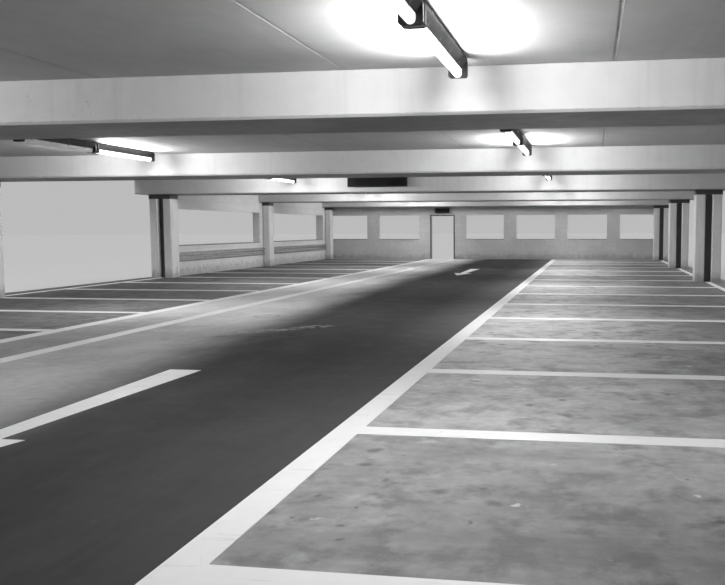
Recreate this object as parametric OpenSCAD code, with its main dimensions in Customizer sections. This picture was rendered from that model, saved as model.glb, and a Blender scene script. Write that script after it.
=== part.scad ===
// A run of a multi storey car park: one parking level and the parking deck over it.
// X runs across the aisle, Y along it and Z up. The origin is on the ground at the middle of the plan.

/* [Grid] */
// Number of structural bays along the aisle
bays = 5; // [2:1:6]
// Distance between beam centrelines
bay_l = 7500; // [7000:50:8100]
// Distance between the two column rows
row_span = 16240; // [15000:10:17000]
// How far the floor and the deck run past the column centres
edge_out = 580; // [500:10:1000]
// Parking spaces in one structural bay
spaces = 3; // [2:1:4]

/* [Levels] */
// Thickness of the ground slab
slab_t = 250; // [200:10:350]
// Thickness of the surfacing on the ground slab
surface_t = 20; // [10:1:40]
// Height from the floor finish to the beam soffits
clear_h = 2540; // [2500:10:3000]
// Gap between the surfacing or the paint and what stands on the slab
stand_clear = 5; // [2:1:20]

/* [Band beams] */
// Width of a beam
beam_w = 1200; // [1000:10:1500]
// Depth of a beam below the deck planks
beam_d = 435; // [400:10:600]
// Length of plank that rests on a beam's ledge
plank_seat = 100; // [80:5:150]
// Chamfer along a beam's lower edges
beam_arris = 25; // [5:1:50]

/* [Deck] */
// Thickness of a deck plank
plank_t = 200; // [150:10:250]
// Distance from one plank joint to the next
plank_pitch = 2500; // [2400:10:3000]
// Place of one plank joint across the aisle
plank_datum = 120; // [-600:10:600]
// Open gap at a plank joint
plank_gap = 12; // [5:1:30]
// Chamfer along a plank's lower edges
plank_arris = 8; // [5:1:30]
// How much a plank narrows at each top edge for its grout
plank_key = 24; // [5:1:40]
// Narrowest strip of plank that is laid at an edge
plank_least = 300; // [200:10:500]
// Thickness of the topping over the planks
topping_t = 70; // [50:5:120]

/* [Columns] */
// Width of a column across the aisle
column_w = 700; // [600:10:800]
// Depth of a column along the aisle
column_d = 450; // [350:10:600]
// Width of the dark recess between a column's two legs
recess_w = 190; // [120:10:260]
// Thickness of the panel set back in the recess
web_t = 150; // [60:10:240]
// Chamfer on a column's upright edges
column_arris = 20; // [5:1:40]
// Height of the dark head on a column
head_h = 130; // [80:5:200]
// How far the head stands out past the column
head_out = 12; // [5:1:40]

/* [Floor paint] */
// Thickness of the road paint
paint_t = 3; // [2:1:5]
// Centre of the right aisle line
right_line_x = 3160; // [2900:10:3300]
// Centre of the left aisle line
left_line_x = -1700; // [-2000:10:-1500]
// Centre of the line at the front of the left spaces
left_front_x = -2850; // [-3200:10:-2600]
// Width of the right aisle line
right_line_w = 210; // [150:5:260]
// Width of the two lines at the left of the aisle
left_line_w = 240; // [150:5:280]
// Width of the lines between parking spaces
space_line_w = 220; // [100:5:240]
// Distance from a beam's centreline on to the line beside it
space_line_set = 160; // [-300:10:300]
// Width of the lines along the column rows
head_line_w = 150; // [80:5:200]
// Length of a direction arrow
arrow_l = 4000; // [3200:10:5000]
// Length of an arrow's head
arrow_head_l = 1200; // [900:50:1800]
// Width of an arrow's head
arrow_head_w = 580; // [450:10:900]
// Width of an arrow's shaft at its head
arrow_shaft_w = 190; // [150:10:300]
// Width of an arrow's shaft at its tail
arrow_tail_w = 350; // [200:10:400]
// Centre of the arrows across the aisle
arrow_x = 690; // [300:10:1000]
// Distance from the near end to the first arrow's tip
arrow_first = 3950; // [3000:10:6000]
// Distance from one arrow to the next
arrow_pitch = 21200; // [15000:100:24000]

/* [Lights] */
// Centre of the right row of lights
right_light_x = 3770; // [3400:10:4000]
// Centre of the left row of lights
left_light_x = -3540; // [-3900:10:-3300]
// Length of one light
light_l = 1800; // [1200:10:2000]
// Lights end to end in each bay
lights_in_line = 2; // [1:1:2]
// Gap between two lights end to end
light_gap = 30; // [10:5:100]
// Gap from the last light to the next beam
light_end = 360; // [200:10:600]
// Width of a light's body
light_w = 160; // [150:2:180]
// Height of a light's upright sides, which run over its end caps
light_side_h = 30; // [26:1:50]
// Height of a light's body, from its foot to the soffit
light_body_h = 100; // [80:1:130]
// Width of a light's body at its foot
light_foot_w = 80; // [60:2:100]
// Width of a light's diffuser
diffuser_w = 70; // [40:2:80]
// Height of a light's diffuser
diffuser_h = 68; // [45:1:90]
// Length of an end cap
cap_l = 45; // [20:1:60]
// How far an end cap stands out past the light's body
cap_out = 3; // [1:1:8]
// Height of the chamfers at an end cap's foot
cap_foot_h = 14; // [6:1:30]
// Width of an end cap at its foot, between the chamfers
cap_foot_w = 138; // [110:2:146]
// Gap between the deck soffit and a light's body
hanger_h = 10; // [6:1:30]
// Length of a hanger clip along the light
hanger_l = 60; // [30:5:100]
// Thickness of a hanger clip's arms
hanger_t = 3; // [2:1:6]
// How far a hanger clip's arms reach down the body
hanger_arm = 22; // [10:1:26]
// Distance from a light's end to its hanger clip
hanger_in = 260; // [150:10:400]

/* [Signs] */
// Length of the direction sign
sign_l = 1740; // [1200:10:2200]
// Height of the direction sign
sign_h = 275; // [200:5:280]
// Thickness of both signs
sign_t = 120; // [60:5:160]
// Centre of the direction sign across the aisle
sign_x = -1150; // [-1900:10:-900]
// Gap between the deck soffit and the top of the direction sign
sign_drop = 10; // [5:5:60]
// Number of the beam that carries the direction sign
sign_beam = 4; // [2:1:6]
// Length of the sign over the end doorway
door_sign_l = 700; // [500:10:900]
// Height of the sign over the end doorway, where there is room for it
door_sign_h = 220; // [150:10:260]
// Least gap over and under the sign over the doorway
door_sign_gap = 30; // [15:5:60]
// Chamfer round the face of a sign
sign_arris = 12; // [4:1:20]

/* [End wall] */
// Thickness of the end wall
wall_t = 200; // [140:10:220]
// Distance from the end wall's outer face to the last beam's outer face
wall_set = 50; // [0:5:100]
// Width of the doorway in the end wall
door_w = 1100; // [900:10:1300]
// Height of the doorway above the floor
door_h = 2100; // [1950:10:2150]
// Width of the doorway frame's face
frame_w = 60; // [40:5:90]
// How far the doorway's frame stands out of the wall
frame_out = 15; // [5:1:30]
// Height of an opening's sill above the floor
sill_h = 950; // [800:10:1100]
// Height of an opening's head above the floor
lintel_h = 2130; // [1900:10:2300]
// Width of a pier between two openings
pier_w = 600; // [400:10:700]
// Openings to the left of the doorway
left_windows = 2; // [1:1:3]
// Openings to the right of the doorway
right_windows = 4; // [1:1:5]

/* [Left infill walls] */
// Number of bays at the far end that have an infill wall
infill_bays = 2; // [1:1:2]
// Thickness of an infill wall
infill_t = 150; // [100:10:200]
// Width of the wall beside an infill opening
infill_jamb = 300; // [150:10:500]
// Height of the guard rails' centres above the floor or the deck
rail_h = 600; // [450:10:700]
// Height of a guard rail's section
rail_section_h = 310; // [250:10:340]
// Depth of a guard rail's section
rail_section_d = 80; // [60:5:90]
// Thickness of a guard rail's folded steel
rail_t = 5; // [3:1:8]
// Height of each flat crest of a guard rail
rail_crest_h = 46; // [30:1:60]
// Height of the flat valley between a guard rail's two crests
rail_valley_h = 52; // [30:1:70]
// Height of each edge strip of a guard rail
rail_edge_h = 18; // [10:1:30]

/* [Parapets] */
// Thickness of a deck parapet
parapet_t = 150; // [100:10:200]
// Height of a parapet above the deck finish, with its coping
parapet_h = 1100; // [1000:10:1300]
// Height of the coping
coping_h = 80; // [60:5:120]
// How far the coping stands out past the parapet
coping_out = 30; // [10:5:60]
// Fall of the coping's top towards the deck
coping_fall = 20; // [5:1:40]
// Gap between two parapet panels
panel_gap = 20; // [10:1:40]
// Size of a rail post along the rail
post_w = 100; // [60:5:140]
// Size of a rail post away from the parapet
post_d = 110; // [60:5:160]
// Thickness of a post's flanges and web
post_t = 8; // [5:1:12]
// Gap between a post and the parapet
post_gap = 80; // [40:5:120]
// Height of a post above the centre of its rail
post_up = 175; // [160:5:250]
// How far a post's base plate stands out past the post
plate_out = 35; // [20:5:40]
// Thickness of a post's base plate
plate_t = 15; // [8:1:25]

/* [Hidden] */
$fn = 32;

left = -1;
right = 1;
length = bays * bay_l + beam_w;
width = row_span + 2 * edge_out;
near_y = -length / 2;
far_y = length / 2;
row_x = row_span / 2;
space_l = bay_l / spaces;

// Levels from the ground up
floor_z = slab_t + surface_t;
soffit_z = floor_z + clear_h;
deck_z = soffit_z + beam_d;
plank_z = deck_z + plank_t;
finish_z = plank_z + topping_t;

// Sections across the columns and the lights
leg_w = (column_w - recess_w) / 2;
leg_x = (recess_w + leg_w) / 2;
light_z = deck_z - hanger_h - light_body_h;
light_side_z = light_body_h - light_side_h;
light_shell_l = light_l - 2 * cap_l;

// The plank joints across the width, with the strips at both edges cut to fit
first_joint = ceil((-width / 2 + plank_least - plank_datum) / plank_pitch);
last_joint = floor((width / 2 - plank_least - plank_datum) / plank_pitch);
plank_joints = [for (k = [first_joint : last_joint]) plank_datum + k * plank_pitch];
plank_edges = concat([-width / 2], plank_joints, [width / 2]);

// The end wall and its openings
wall_y = far_y - wall_set - wall_t;
door_x = (left_line_x + left_front_x) / 2;
door_head_z = floor_z + door_h + frame_w;
door_sign_room = min(door_sign_h, soffit_z - door_head_z - 2 * door_sign_gap);
left_span = [-width / 2 + pier_w, door_x - door_w / 2 - pier_w];
right_span = [door_x + door_w / 2 + pier_w, width / 2 - pier_w];

// The parapets on the deck
parapet_x = width / 2 - coping_out - parapet_t / 2;
parapet_y = far_y - coping_out - parapet_t / 2;
parapet_inner_x = parapet_x - parapet_t / 2;
parapet_inner_y = parapet_y - parapet_t / 2;
parapet_top_z = finish_z + parapet_h - coping_h;
post_x = parapet_inner_x - post_gap - post_d / 2;
post_y = parapet_inner_y - post_gap - post_d / 2;
rail_back_x = post_x - post_d / 2;
rail_back_y = post_y - post_d / 2;
rail_face_x = rail_back_x - rail_section_d;
rail_face_y = rail_back_y - rail_section_d;

// Half of a guard rail's front outline, from its middle up, with the crest at 0
rail_fold = [
    [rail_section_d - rail_t, rail_valley_h / 2],
    [0, (rail_section_h / 2 - rail_crest_h) / 2],
    [0, (rail_section_h / 2 + rail_crest_h) / 2],
    [rail_section_d - rail_t, rail_section_h / 2 - rail_edge_h],
    [rail_section_d - rail_t, rail_section_h / 2]
];

// Paint colours and concrete colours
white_paint = [0.92, 0.92, 0.90];
pale_concrete = [0.80, 0.80, 0.79];
grey_concrete = [0.58, 0.58, 0.57];
dark_paint = [0.13, 0.13, 0.13];

BEAMS = [for (i = [1 : bays + 1]) str("band_beam_", i)];
PLANKS = [for (i = [1 : bays]) str("deck_planks_", i)];

// Centre of beam i, counted from 0 at the near end
function beam_y(i) = near_y + beam_w / 2 + i * bay_l;

// Centre of the line beside parking space k
function space_y(k) = beam_y(0) + space_line_set + k * space_l;

// Near end of light k in bay b, counted back from the far beam of the bay
function light_y(b, k) =
    beam_y(b + 1) - beam_w / 2 - light_end - (k + 1) * light_l - k * light_gap;

// A rectangle with its four corners cut off
module chamfered(w, d, c) {
    polygon([
        [-w / 2 + c, -d / 2], [w / 2 - c, -d / 2], [w / 2, -d / 2 + c], [w / 2, d / 2 - c],
        [w / 2 - c, d / 2], [-w / 2 + c, d / 2], [-w / 2, d / 2 - c], [-w / 2, -d / 2 + c]
    ]);
}

// A section in X and Z that runs along Y from y to y + l
module along_y(y, l) {
    translate([0, y + l, 0]) rotate([90, 0, 0]) linear_extrude(l) children();
}

// A section in Y and Z that runs along X from x to x + l
module along_x(x, l) {
    translate([x, 0, 0]) rotate([90, 0, 90]) linear_extrude(l) children();
}

// The plan of all that stands on the slab, grown by the clearance
module standing_plan() {
    c = stand_clear;
    for (side = [left, right], i = [0 : bays])
        translate([side * row_x, beam_y(i)])
            square([column_w + 2 * c, column_d + 2 * c], center = true);
    for (b = [bays - infill_bays : bays - 1])
        translate([-row_x - infill_t / 2 - c, beam_y(b)]) square([infill_t + 2 * c, bay_l]);
    difference() {
        translate([-width / 2, wall_y - c]) square([width, far_y - wall_y + c]);
        translate([door_x - door_w / 2 + c, near_y]) square([door_w - 2 * c, length]);
    }
}

module ground_slab() {
    color(grey_concrete)
        translate([-width / 2, near_y, 0]) cube([width, length, slab_t]);
}

// Surfacing from x0 to x1, cut round what stands on the slab
module surfacing(x0, x1) {
    translate([0, 0, slab_t]) linear_extrude(surface_t) difference() {
        translate([x0, near_y]) square([x1 - x0, length]);
        standing_plan();
    }
}

module aisle_surfacing() {
    color([0.26, 0.26, 0.26]) surfacing(left_front_x, right_line_x);
}

module left_bay_surfacing() {
    color([0.50, 0.50, 0.49]) surfacing(-width / 2, left_front_x);
}

module right_bay_surfacing() {
    color([0.50, 0.50, 0.49]) surfacing(right_line_x, width / 2);
}

// A long painted line, centred on x
module long_line(x, w, l) {
    translate([x - w / 2, near_y]) square([w, l]);
}

// The three long lines beside the aisle
module aisle_line_plan(l) {
    long_line(right_line_x, right_line_w, l);
    long_line(left_line_x, left_line_w, l);
    long_line(left_front_x, left_line_w, l);
}

// The lines between the spaces of one side, from x0 at the aisle to x1 at the column row
module space_line_plan(x0, x1, head_l) {
    low = min(x0, x1);
    for (k = [0 : bays * spaces])
        translate([low, space_y(k) - space_line_w / 2]) square([abs(x1 - x0), space_line_w]);
    long_line(x1, head_line_w, head_l);
}

module left_space_plan(head_l) {
    space_line_plan(left_front_x - left_line_w / 2, -row_x, head_l);
}

module right_space_plan(head_l) {
    space_line_plan(right_line_x + right_line_w / 2, row_x, head_l);
}

// Paint on the lower floor, cut round what stands on the slab
module floor_paint() {
    color(white_paint) translate([0, 0, floor_z]) linear_extrude(paint_t) difference() {
        children();
        standing_plan();
    }
}

module aisle_lines() {
    floor_paint() aisle_line_plan(length);
}

module left_space_lines() {
    floor_paint() left_space_plan(length);
}

module right_space_lines() {
    floor_paint() right_space_plan(length);
}

// An arrow that points to the near end, with its tip at the origin
module arrow() {
    polygon([
        [0, 0], [arrow_head_w / 2, arrow_head_l], [arrow_shaft_w / 2, arrow_head_l],
        [arrow_tail_w / 2, arrow_l], [-arrow_tail_w / 2, arrow_l],
        [-arrow_shaft_w / 2, arrow_head_l], [-arrow_head_w / 2, arrow_head_l]
    ]);
}

// Every arrow that ends before y_end, painted at height z
module arrows(z, y_end) {
    color(white_paint)
        for (y = [near_y + arrow_first : arrow_pitch : y_end - arrow_l])
            translate([arrow_x, y, z]) linear_extrude(paint_t) arrow();
}

// The two legs of every column in a row
module column_legs(side) {
    color(pale_concrete)
        for (i = [0 : bays], s = [-1, 1])
            translate([side * row_x + s * leg_x, beam_y(i), slab_t])
                linear_extrude(soffit_z - head_h - slab_t) chamfered(leg_w, column_d, column_arris);
}

// The dark panel between the two legs of every column in a row
module column_webs(side) {
    color(dark_paint)
        for (i = [0 : bays])
            translate([side * row_x - recess_w / 2, beam_y(i) - web_t / 2, slab_t])
                cube([recess_w, web_t, soffit_z - head_h - slab_t]);
}

// The dark head on every column in a row
module column_heads(side) {
    color(dark_paint)
        for (i = [0 : bays])
            translate([side * row_x, beam_y(i), soffit_z - head_h])
                linear_extrude(head_h)
                    chamfered(column_w + 2 * head_out, column_d + 2 * head_out, column_arris);
}

// A band beam's section, with a ledge for the planks on each side that has a seat
module beam_section(near_seat, far_seat) {
    half = beam_w / 2;
    top = beam_d + plank_t;
    polygon([
        [-half + beam_arris, 0], [half - beam_arris, 0], [half, beam_arris],
        if (far_seat > 0) [half, beam_d],
        if (far_seat > 0) [half - far_seat, beam_d],
        [half - far_seat, top], [-half + near_seat, top],
        if (near_seat > 0) [-half + near_seat, beam_d],
        if (near_seat > 0) [-half, beam_d],
        [-half, beam_arris]
    ]);
}

// Beam i. The first and the last carry planks on their inner side alone
module band_beam(i) {
    color(pale_concrete)
        translate([0, beam_y(i), soffit_z])
            along_x(-width / 2, width)
                beam_section(i == 0 ? 0 : plank_seat, i == bays ? 0 : plank_seat);
}

// One plank of width w, its left side at the origin, with a notch for grout at each top edge
module plank_section(w) {
    polygon([
        [plank_gap / 2 + plank_arris, 0], [w - plank_gap / 2 - plank_arris, 0],
        [w - plank_gap / 2, plank_arris], [w - plank_gap / 2 - plank_key, plank_t],
        [plank_gap / 2 + plank_key, plank_t], [plank_gap / 2, plank_arris]
    ]);
}

// The deck planks of bay b, side by side from the left edge
module deck_planks(b) {
    y0 = beam_y(b) + beam_w / 2 - plank_seat;
    color(pale_concrete)
        along_y(y0, bay_l - beam_w + 2 * plank_seat)
            for (k = [1 : len(plank_edges) - 1])
                translate([plank_edges[k - 1], deck_z])
                    plank_section(plank_edges[k] - plank_edges[k - 1]);
}

module deck_topping() {
    color(grey_concrete)
        translate([-parapet_inner_x, near_y, plank_z])
            cube([2 * parapet_inner_x, parapet_inner_y - near_y, topping_t]);
}

// The paint on the deck repeats the layout of the level below, as far as the end rail
module deck_lines() {
    line_l = rail_face_y - near_y;
    color(white_paint) translate([0, 0, finish_z]) linear_extrude(paint_t) intersection() {
        union() {
            aisle_line_plan(line_l);
            left_space_plan(line_l);
            right_space_plan(line_l);
        }
        translate([-width / 2, near_y]) square([width, line_l]);
    }
    arrows(finish_z, near_y + line_l);
}

// The side parapet panels, with a joint over each inner beam
module side_parapet(side) {
    color(pale_concrete)
        for (b = [0 : bays - 1]) {
            y0 = b == 0 ? near_y : beam_y(b) + panel_gap / 2;
            y1 = b == bays - 1 ? far_y - coping_out : beam_y(b + 1) - panel_gap / 2;
            translate([side * parapet_x - parapet_t / 2, y0, plank_z])
                cube([parapet_t, y1 - y0, parapet_top_z - plank_z]);
        }
}

module end_parapet() {
    color(pale_concrete)
        for (s = [left, right]) {
            x0 = s == left ? -parapet_inner_x + panel_gap : panel_gap / 2;
            translate([x0, parapet_y - parapet_t / 2, plank_z])
                cube([parapet_inner_x - 1.5 * panel_gap, parapet_t, parapet_top_z - plank_z]);
        }
}

// A coping section over a parapet, its outer side at +X, with a fall to the deck
module coping_section() {
    w = parapet_t + 2 * coping_out;
    polygon([[-w / 2, 0], [w / 2, 0], [w / 2, coping_h], [-w / 2, coping_h - coping_fall]]);
}

module parapet_copings() {
    end_x = parapet_inner_x - coping_out - panel_gap;
    color(grey_concrete) {
        for (s = [left, right])
            translate([s * parapet_x, 0, parapet_top_z]) mirror([s == left ? 1 : 0, 0, 0])
                along_y(near_y, length) coping_section();
        translate([0, parapet_y, parapet_top_z]) along_x(-end_x, 2 * end_x) coping_section();
    }
}

// A rolled steel post on its base plate, its flanges towards the rail and the parapet
module rail_post() {
    flange_x = (post_d - post_t) / 2;
    plate = [post_d + 2 * plate_out, post_w + 2 * plate_out];
    linear_extrude(plate_t) square(plate, center = true);
    linear_extrude(rail_h + post_up) {
        square([post_d, post_t], center = true);
        for (x = [-flange_x, flange_x]) translate([x, 0]) square([post_t, post_w], center = true);
    }
}

// Posts inside the parapets: beside each space at the sides, and evenly along the far end
module deck_rail_posts() {
    last = floor((rail_back_y - post_w / 2 - space_y(0)) / space_l);
    end_gaps = round(2 * rail_back_x / space_l);
    end_gap = 2 * rail_back_x / end_gaps;
    color([0.45, 0.46, 0.47]) {
        for (s = [left, right], k = [0 : last])
            translate([s * post_x, space_y(k), finish_z]) rail_post();
        for (k = [1 : end_gaps - 1])
            translate([-rail_back_x + k * end_gap, post_y, finish_z]) rotate(90) rail_post();
    }
}

// A guard rail's section, folded from one sheet: two crests towards -X and a flat back at its post
module rail_section() {
    front = rail_fold;
    back = [for (p = rail_fold) [p[0] + rail_t, p[1]]];
    n = len(rail_fold);
    polygon(concat(
        front,
        [for (k = [n - 1 : -1 : 0]) back[k]],
        [for (p = back) [p[0], -p[1]]],
        [for (k = [n - 1 : -1 : 0]) [front[k][0], -front[k][1]]]
    ));
}

module deck_guard_rails() {
    z = finish_z + rail_h;
    color([0.62, 0.63, 0.64]) {
        for (s = [left, right])
            mirror([s == left ? 1 : 0, 0, 0])
                along_y(near_y, rail_face_y - near_y) translate([rail_face_x, z]) rail_section();
        along_x(-rail_back_x, 2 * rail_back_x) translate([rail_face_y, z]) rail_section();
    }
}

// Openings in a row of n between x0 and x1, with a pier between each two
module window_row(x0, x1, n) {
    w = (x1 - x0 - (n - 1) * pier_w) / n;
    for (k = [0 : n - 1])
        translate([x0 + k * (w + pier_w), floor_z + sill_h]) square([w, lintel_h - sill_h]);
}

module end_wall() {
    color(pale_concrete) along_y(wall_y, wall_t) difference() {
        translate([-width / 2, slab_t]) square([width, soffit_z - slab_t]);
        translate([door_x - door_w / 2, 0]) square([door_w, floor_z + door_h]);
        window_row(left_span[0], left_span[1], left_windows);
        window_row(right_span[0], right_span[1], right_windows);
    }
}

// The frame round the doorway, on the wall's near face
module end_door_frame() {
    color(dark_paint) along_y(wall_y - frame_out, frame_out) difference() {
        translate([door_x - door_w / 2 - frame_w, floor_z])
            square([door_w + 2 * frame_w, door_h + frame_w]);
        translate([door_x - door_w / 2, 0]) square([door_w, floor_z + door_h]);
    }
}

// An infill wall fills a bay of the left row, from web to web and up to the beams and the deck
module infill_wall(b) {
    ends = [beam_y(b) + web_t / 2, beam_y(b + 1) - web_t / 2];
    heads = [beam_y(b) + column_d / 2 + head_out, beam_y(b + 1) - column_d / 2 - head_out];
    beams = [beam_y(b) + beam_w / 2, beam_y(b + 1) - beam_w / 2];
    jambs = [beam_y(b) + column_d / 2 + infill_jamb, beam_y(b + 1) - column_d / 2 - infill_jamb];
    head_z = soffit_z - head_h;
    along_x(-row_x - infill_t / 2, infill_t) difference() {
        polygon([
            [ends[0], slab_t], [ends[1], slab_t], [ends[1], head_z], [heads[1], head_z],
            [heads[1], soffit_z], [beams[1], soffit_z], [beams[1], deck_z],
            [beams[0], deck_z], [beams[0], soffit_z], [heads[0], soffit_z],
            [heads[0], head_z], [ends[0], head_z]
        ]);
        translate([jambs[0], floor_z + sill_h]) square([jambs[1] - jambs[0], lintel_h - sill_h]);
    }
}

module left_infill_walls() {
    color(pale_concrete) for (b = [bays - infill_bays : bays - 1]) infill_wall(b);
}

module infill_guard_rails() {
    x = row_x - infill_t / 2 - rail_section_d;
    color([0.62, 0.63, 0.64])
        for (b = [bays - infill_bays : bays - 1])
            mirror([1, 0, 0])
                along_y(beam_y(b) + column_d / 2 + stand_clear, bay_l - column_d - 2 * stand_clear)
                    translate([x, floor_z + rail_h]) rail_section();
}

// Repeats its children at the near end of every light in a row
module each_light(x) {
    for (b = [0 : bays - 1], k = [0 : lights_in_line - 1])
        translate([x, light_y(b, k), light_z]) children();
}

// A folded steel body: a flat channel over the caps, and wings that fold in to the diffuser
module light_bodies(x) {
    color([0.45, 0.45, 0.45]) each_light(x) {
        along_y(0, light_l) translate([-light_w / 2, light_side_z]) square([light_w, light_side_h]);
        along_y(cap_l, light_shell_l) polygon([
            [-light_foot_w / 2, 0], [light_foot_w / 2, 0],
            [light_w / 2, light_side_z], [-light_w / 2, light_side_z]
        ]);
    }
}

// A half-round diffuser under the body
module light_diffusers(x) {
    r = diffuser_w / 2;
    color([1, 1, 0.98]) each_light(x) along_y(cap_l, light_shell_l) union() {
        translate([0, r - diffuser_h]) intersection() {
            circle(r);
            translate([-r, -r]) square([2 * r, r]);
        }
        translate([-r, r - diffuser_h]) square([2 * r, diffuser_h - r]);
    }
}

// The two moulded end plates of every light, under its channel and down to its diffuser's foot
module light_end_caps() {
    w = light_w + 2 * cap_out;
    side_z = cap_foot_h - diffuser_h;
    color(dark_paint)
        for (x = [left_light_x, right_light_x])
            each_light(x) for (y = [0, light_l - cap_l])
                along_y(y, cap_l) polygon([
                    [-cap_foot_w / 2, -diffuser_h], [cap_foot_w / 2, -diffuser_h], [w / 2, side_z],
                    [w / 2, light_side_z], [-w / 2, light_side_z], [-w / 2, side_z]
                ]);
}

// Two clips a light: a bar on the soffit, with an arm down each side of the body
module light_hangers() {
    w = light_w + 2 * hanger_t;
    color([0.40, 0.40, 0.40])
        for (x = [left_light_x, right_light_x])
            each_light(x) for (y = [hanger_in, light_l - hanger_in])
                along_y(y - hanger_l / 2, hanger_l) difference() {
                    translate([-w / 2, light_body_h - hanger_arm]) square([w, hanger_arm + hanger_h]);
                    translate([-light_w / 2, light_body_h - 2 * hanger_arm])
                        square([light_w, 2 * hanger_arm]);
                }
}

// A flat box sign, its back against y, its bottom at z and its front towards the near end
module box_sign(x, y, z, l, h) {
    color(dark_paint) translate([x, y, z]) along_x(-l / 2, l) polygon([
        [0, 0], [0, h], [-sign_t + sign_arris, h], [-sign_t, h - sign_arris],
        [-sign_t, sign_arris], [-sign_t + sign_arris, 0]
    ]);
}

module direction_sign() {
    i = min(sign_beam - 1, bays);
    box_sign(sign_x, beam_y(i) - beam_w / 2, deck_z - sign_drop - sign_h, sign_l, sign_h);
}

module doorway_sign() {
    z = (door_head_z + soffit_z - door_sign_room) / 2;
    box_sign(door_x, wall_y, z, door_sign_l, door_sign_room);
}

ground_slab();
aisle_surfacing();
left_bay_surfacing();
right_bay_surfacing();
aisle_lines();
left_space_lines();
right_space_lines();
arrows(floor_z, wall_y);  // direction_arrows
column_legs(left);  // left_column_legs
column_legs(right);  // right_column_legs
column_webs(left);  // left_column_webs
column_webs(right);  // right_column_webs
column_heads(left);  // left_column_heads
column_heads(right);  // right_column_heads
for (i = [0 : bays]) band_beam(i);
for (b = [0 : bays - 1]) deck_planks(b);
deck_topping();
deck_lines();
side_parapet(left);  // left_parapet
side_parapet(right);  // right_parapet
end_parapet();
parapet_copings();
deck_rail_posts();
deck_guard_rails();
end_wall();
end_door_frame();
left_infill_walls();
infill_guard_rails();
light_bodies(left_light_x);  // left_light_bodies
light_bodies(right_light_x);  // right_light_bodies
light_diffusers(left_light_x);  // left_light_diffusers
light_diffusers(right_light_x);  // right_light_diffusers
light_end_caps();
light_hangers();
direction_sign();
doorway_sign();
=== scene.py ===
"""Looks of a multi storey car park: one parking level and the parking deck over it.

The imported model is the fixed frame. Its slabs, beams, planks, columns, walls, rails and lights keep
their places and get their finishes here. What is too fine for the model, such as bolts, clips,
grout and sealant, is built from the boxes of the pieces that carry it. Lengths are in metres.
"""

import logging
import math
from collections.abc import Iterator, Mapping, Sequence
from dataclasses import dataclass
from enum import Enum
from itertools import pairwise, product

import bmesh
import bpy
from mathutils import Euler, Matrix, Vector


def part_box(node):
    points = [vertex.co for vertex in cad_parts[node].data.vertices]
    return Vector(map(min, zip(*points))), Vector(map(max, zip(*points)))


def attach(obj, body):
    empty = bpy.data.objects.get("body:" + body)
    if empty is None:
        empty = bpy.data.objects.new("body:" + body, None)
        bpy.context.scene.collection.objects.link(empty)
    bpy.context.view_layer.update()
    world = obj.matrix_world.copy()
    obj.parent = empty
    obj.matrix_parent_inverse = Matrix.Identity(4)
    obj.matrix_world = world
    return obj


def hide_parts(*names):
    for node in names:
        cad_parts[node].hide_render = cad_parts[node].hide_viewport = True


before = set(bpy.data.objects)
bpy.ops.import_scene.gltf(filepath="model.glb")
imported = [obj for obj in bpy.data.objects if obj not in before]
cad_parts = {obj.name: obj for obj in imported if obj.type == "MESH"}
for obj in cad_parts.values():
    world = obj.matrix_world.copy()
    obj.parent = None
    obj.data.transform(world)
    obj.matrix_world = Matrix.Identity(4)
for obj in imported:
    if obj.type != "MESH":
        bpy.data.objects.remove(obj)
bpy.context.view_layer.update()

ROOT = "root"
SHARP_FROM = math.radians(35)
X, Y, Z = Vector((1, 0, 0)), Vector((0, 1, 0)), Vector((0, 0, 1))

Node = bpy.types.Node
Socket = bpy.types.NodeSocket
Corner = tuple[float, ...]
Outline = Sequence[tuple[float, float]]

log = logging.getLogger("car_park")


@dataclass(frozen=True)
class Value:
    """One value in a shader tree, which sums can be written with."""

    graph: "Graph"
    socket: Socket

    def __add__(self, other: "Feed") -> "Value":
        """The sum of both."""
        return self.graph.math("ADD", self, other)

    def __sub__(self, other: "Feed") -> "Value":
        """This less the other."""
        return self.graph.math("SUBTRACT", self, other)

    def __mul__(self, other: "Feed") -> "Value":
        """The product of both."""
        return self.graph.math("MULTIPLY", self, other)

    def __truediv__(self, other: "Feed") -> "Value":
        """This over the other."""
        return self.graph.math("DIVIDE", self, other)

    def __rtruediv__(self, other: "Feed") -> "Value":
        """The other over this."""
        return self.graph.math("DIVIDE", other, self)

    def __abs__(self) -> "Value":
        """This without its sign."""
        return self.graph.math("ABSOLUTE", self)

    def stretch(self, factors: "Feed") -> "Value":
        """Multiplies each part of a place by its own factor."""
        return self.graph.make("ShaderNodeVectorMath", {0: self, 1: factors}, operation="MULTIPLY")


Feed = Value | float | tuple[float, ...] | None
Feeds = Mapping[str | int, Feed]


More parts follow.
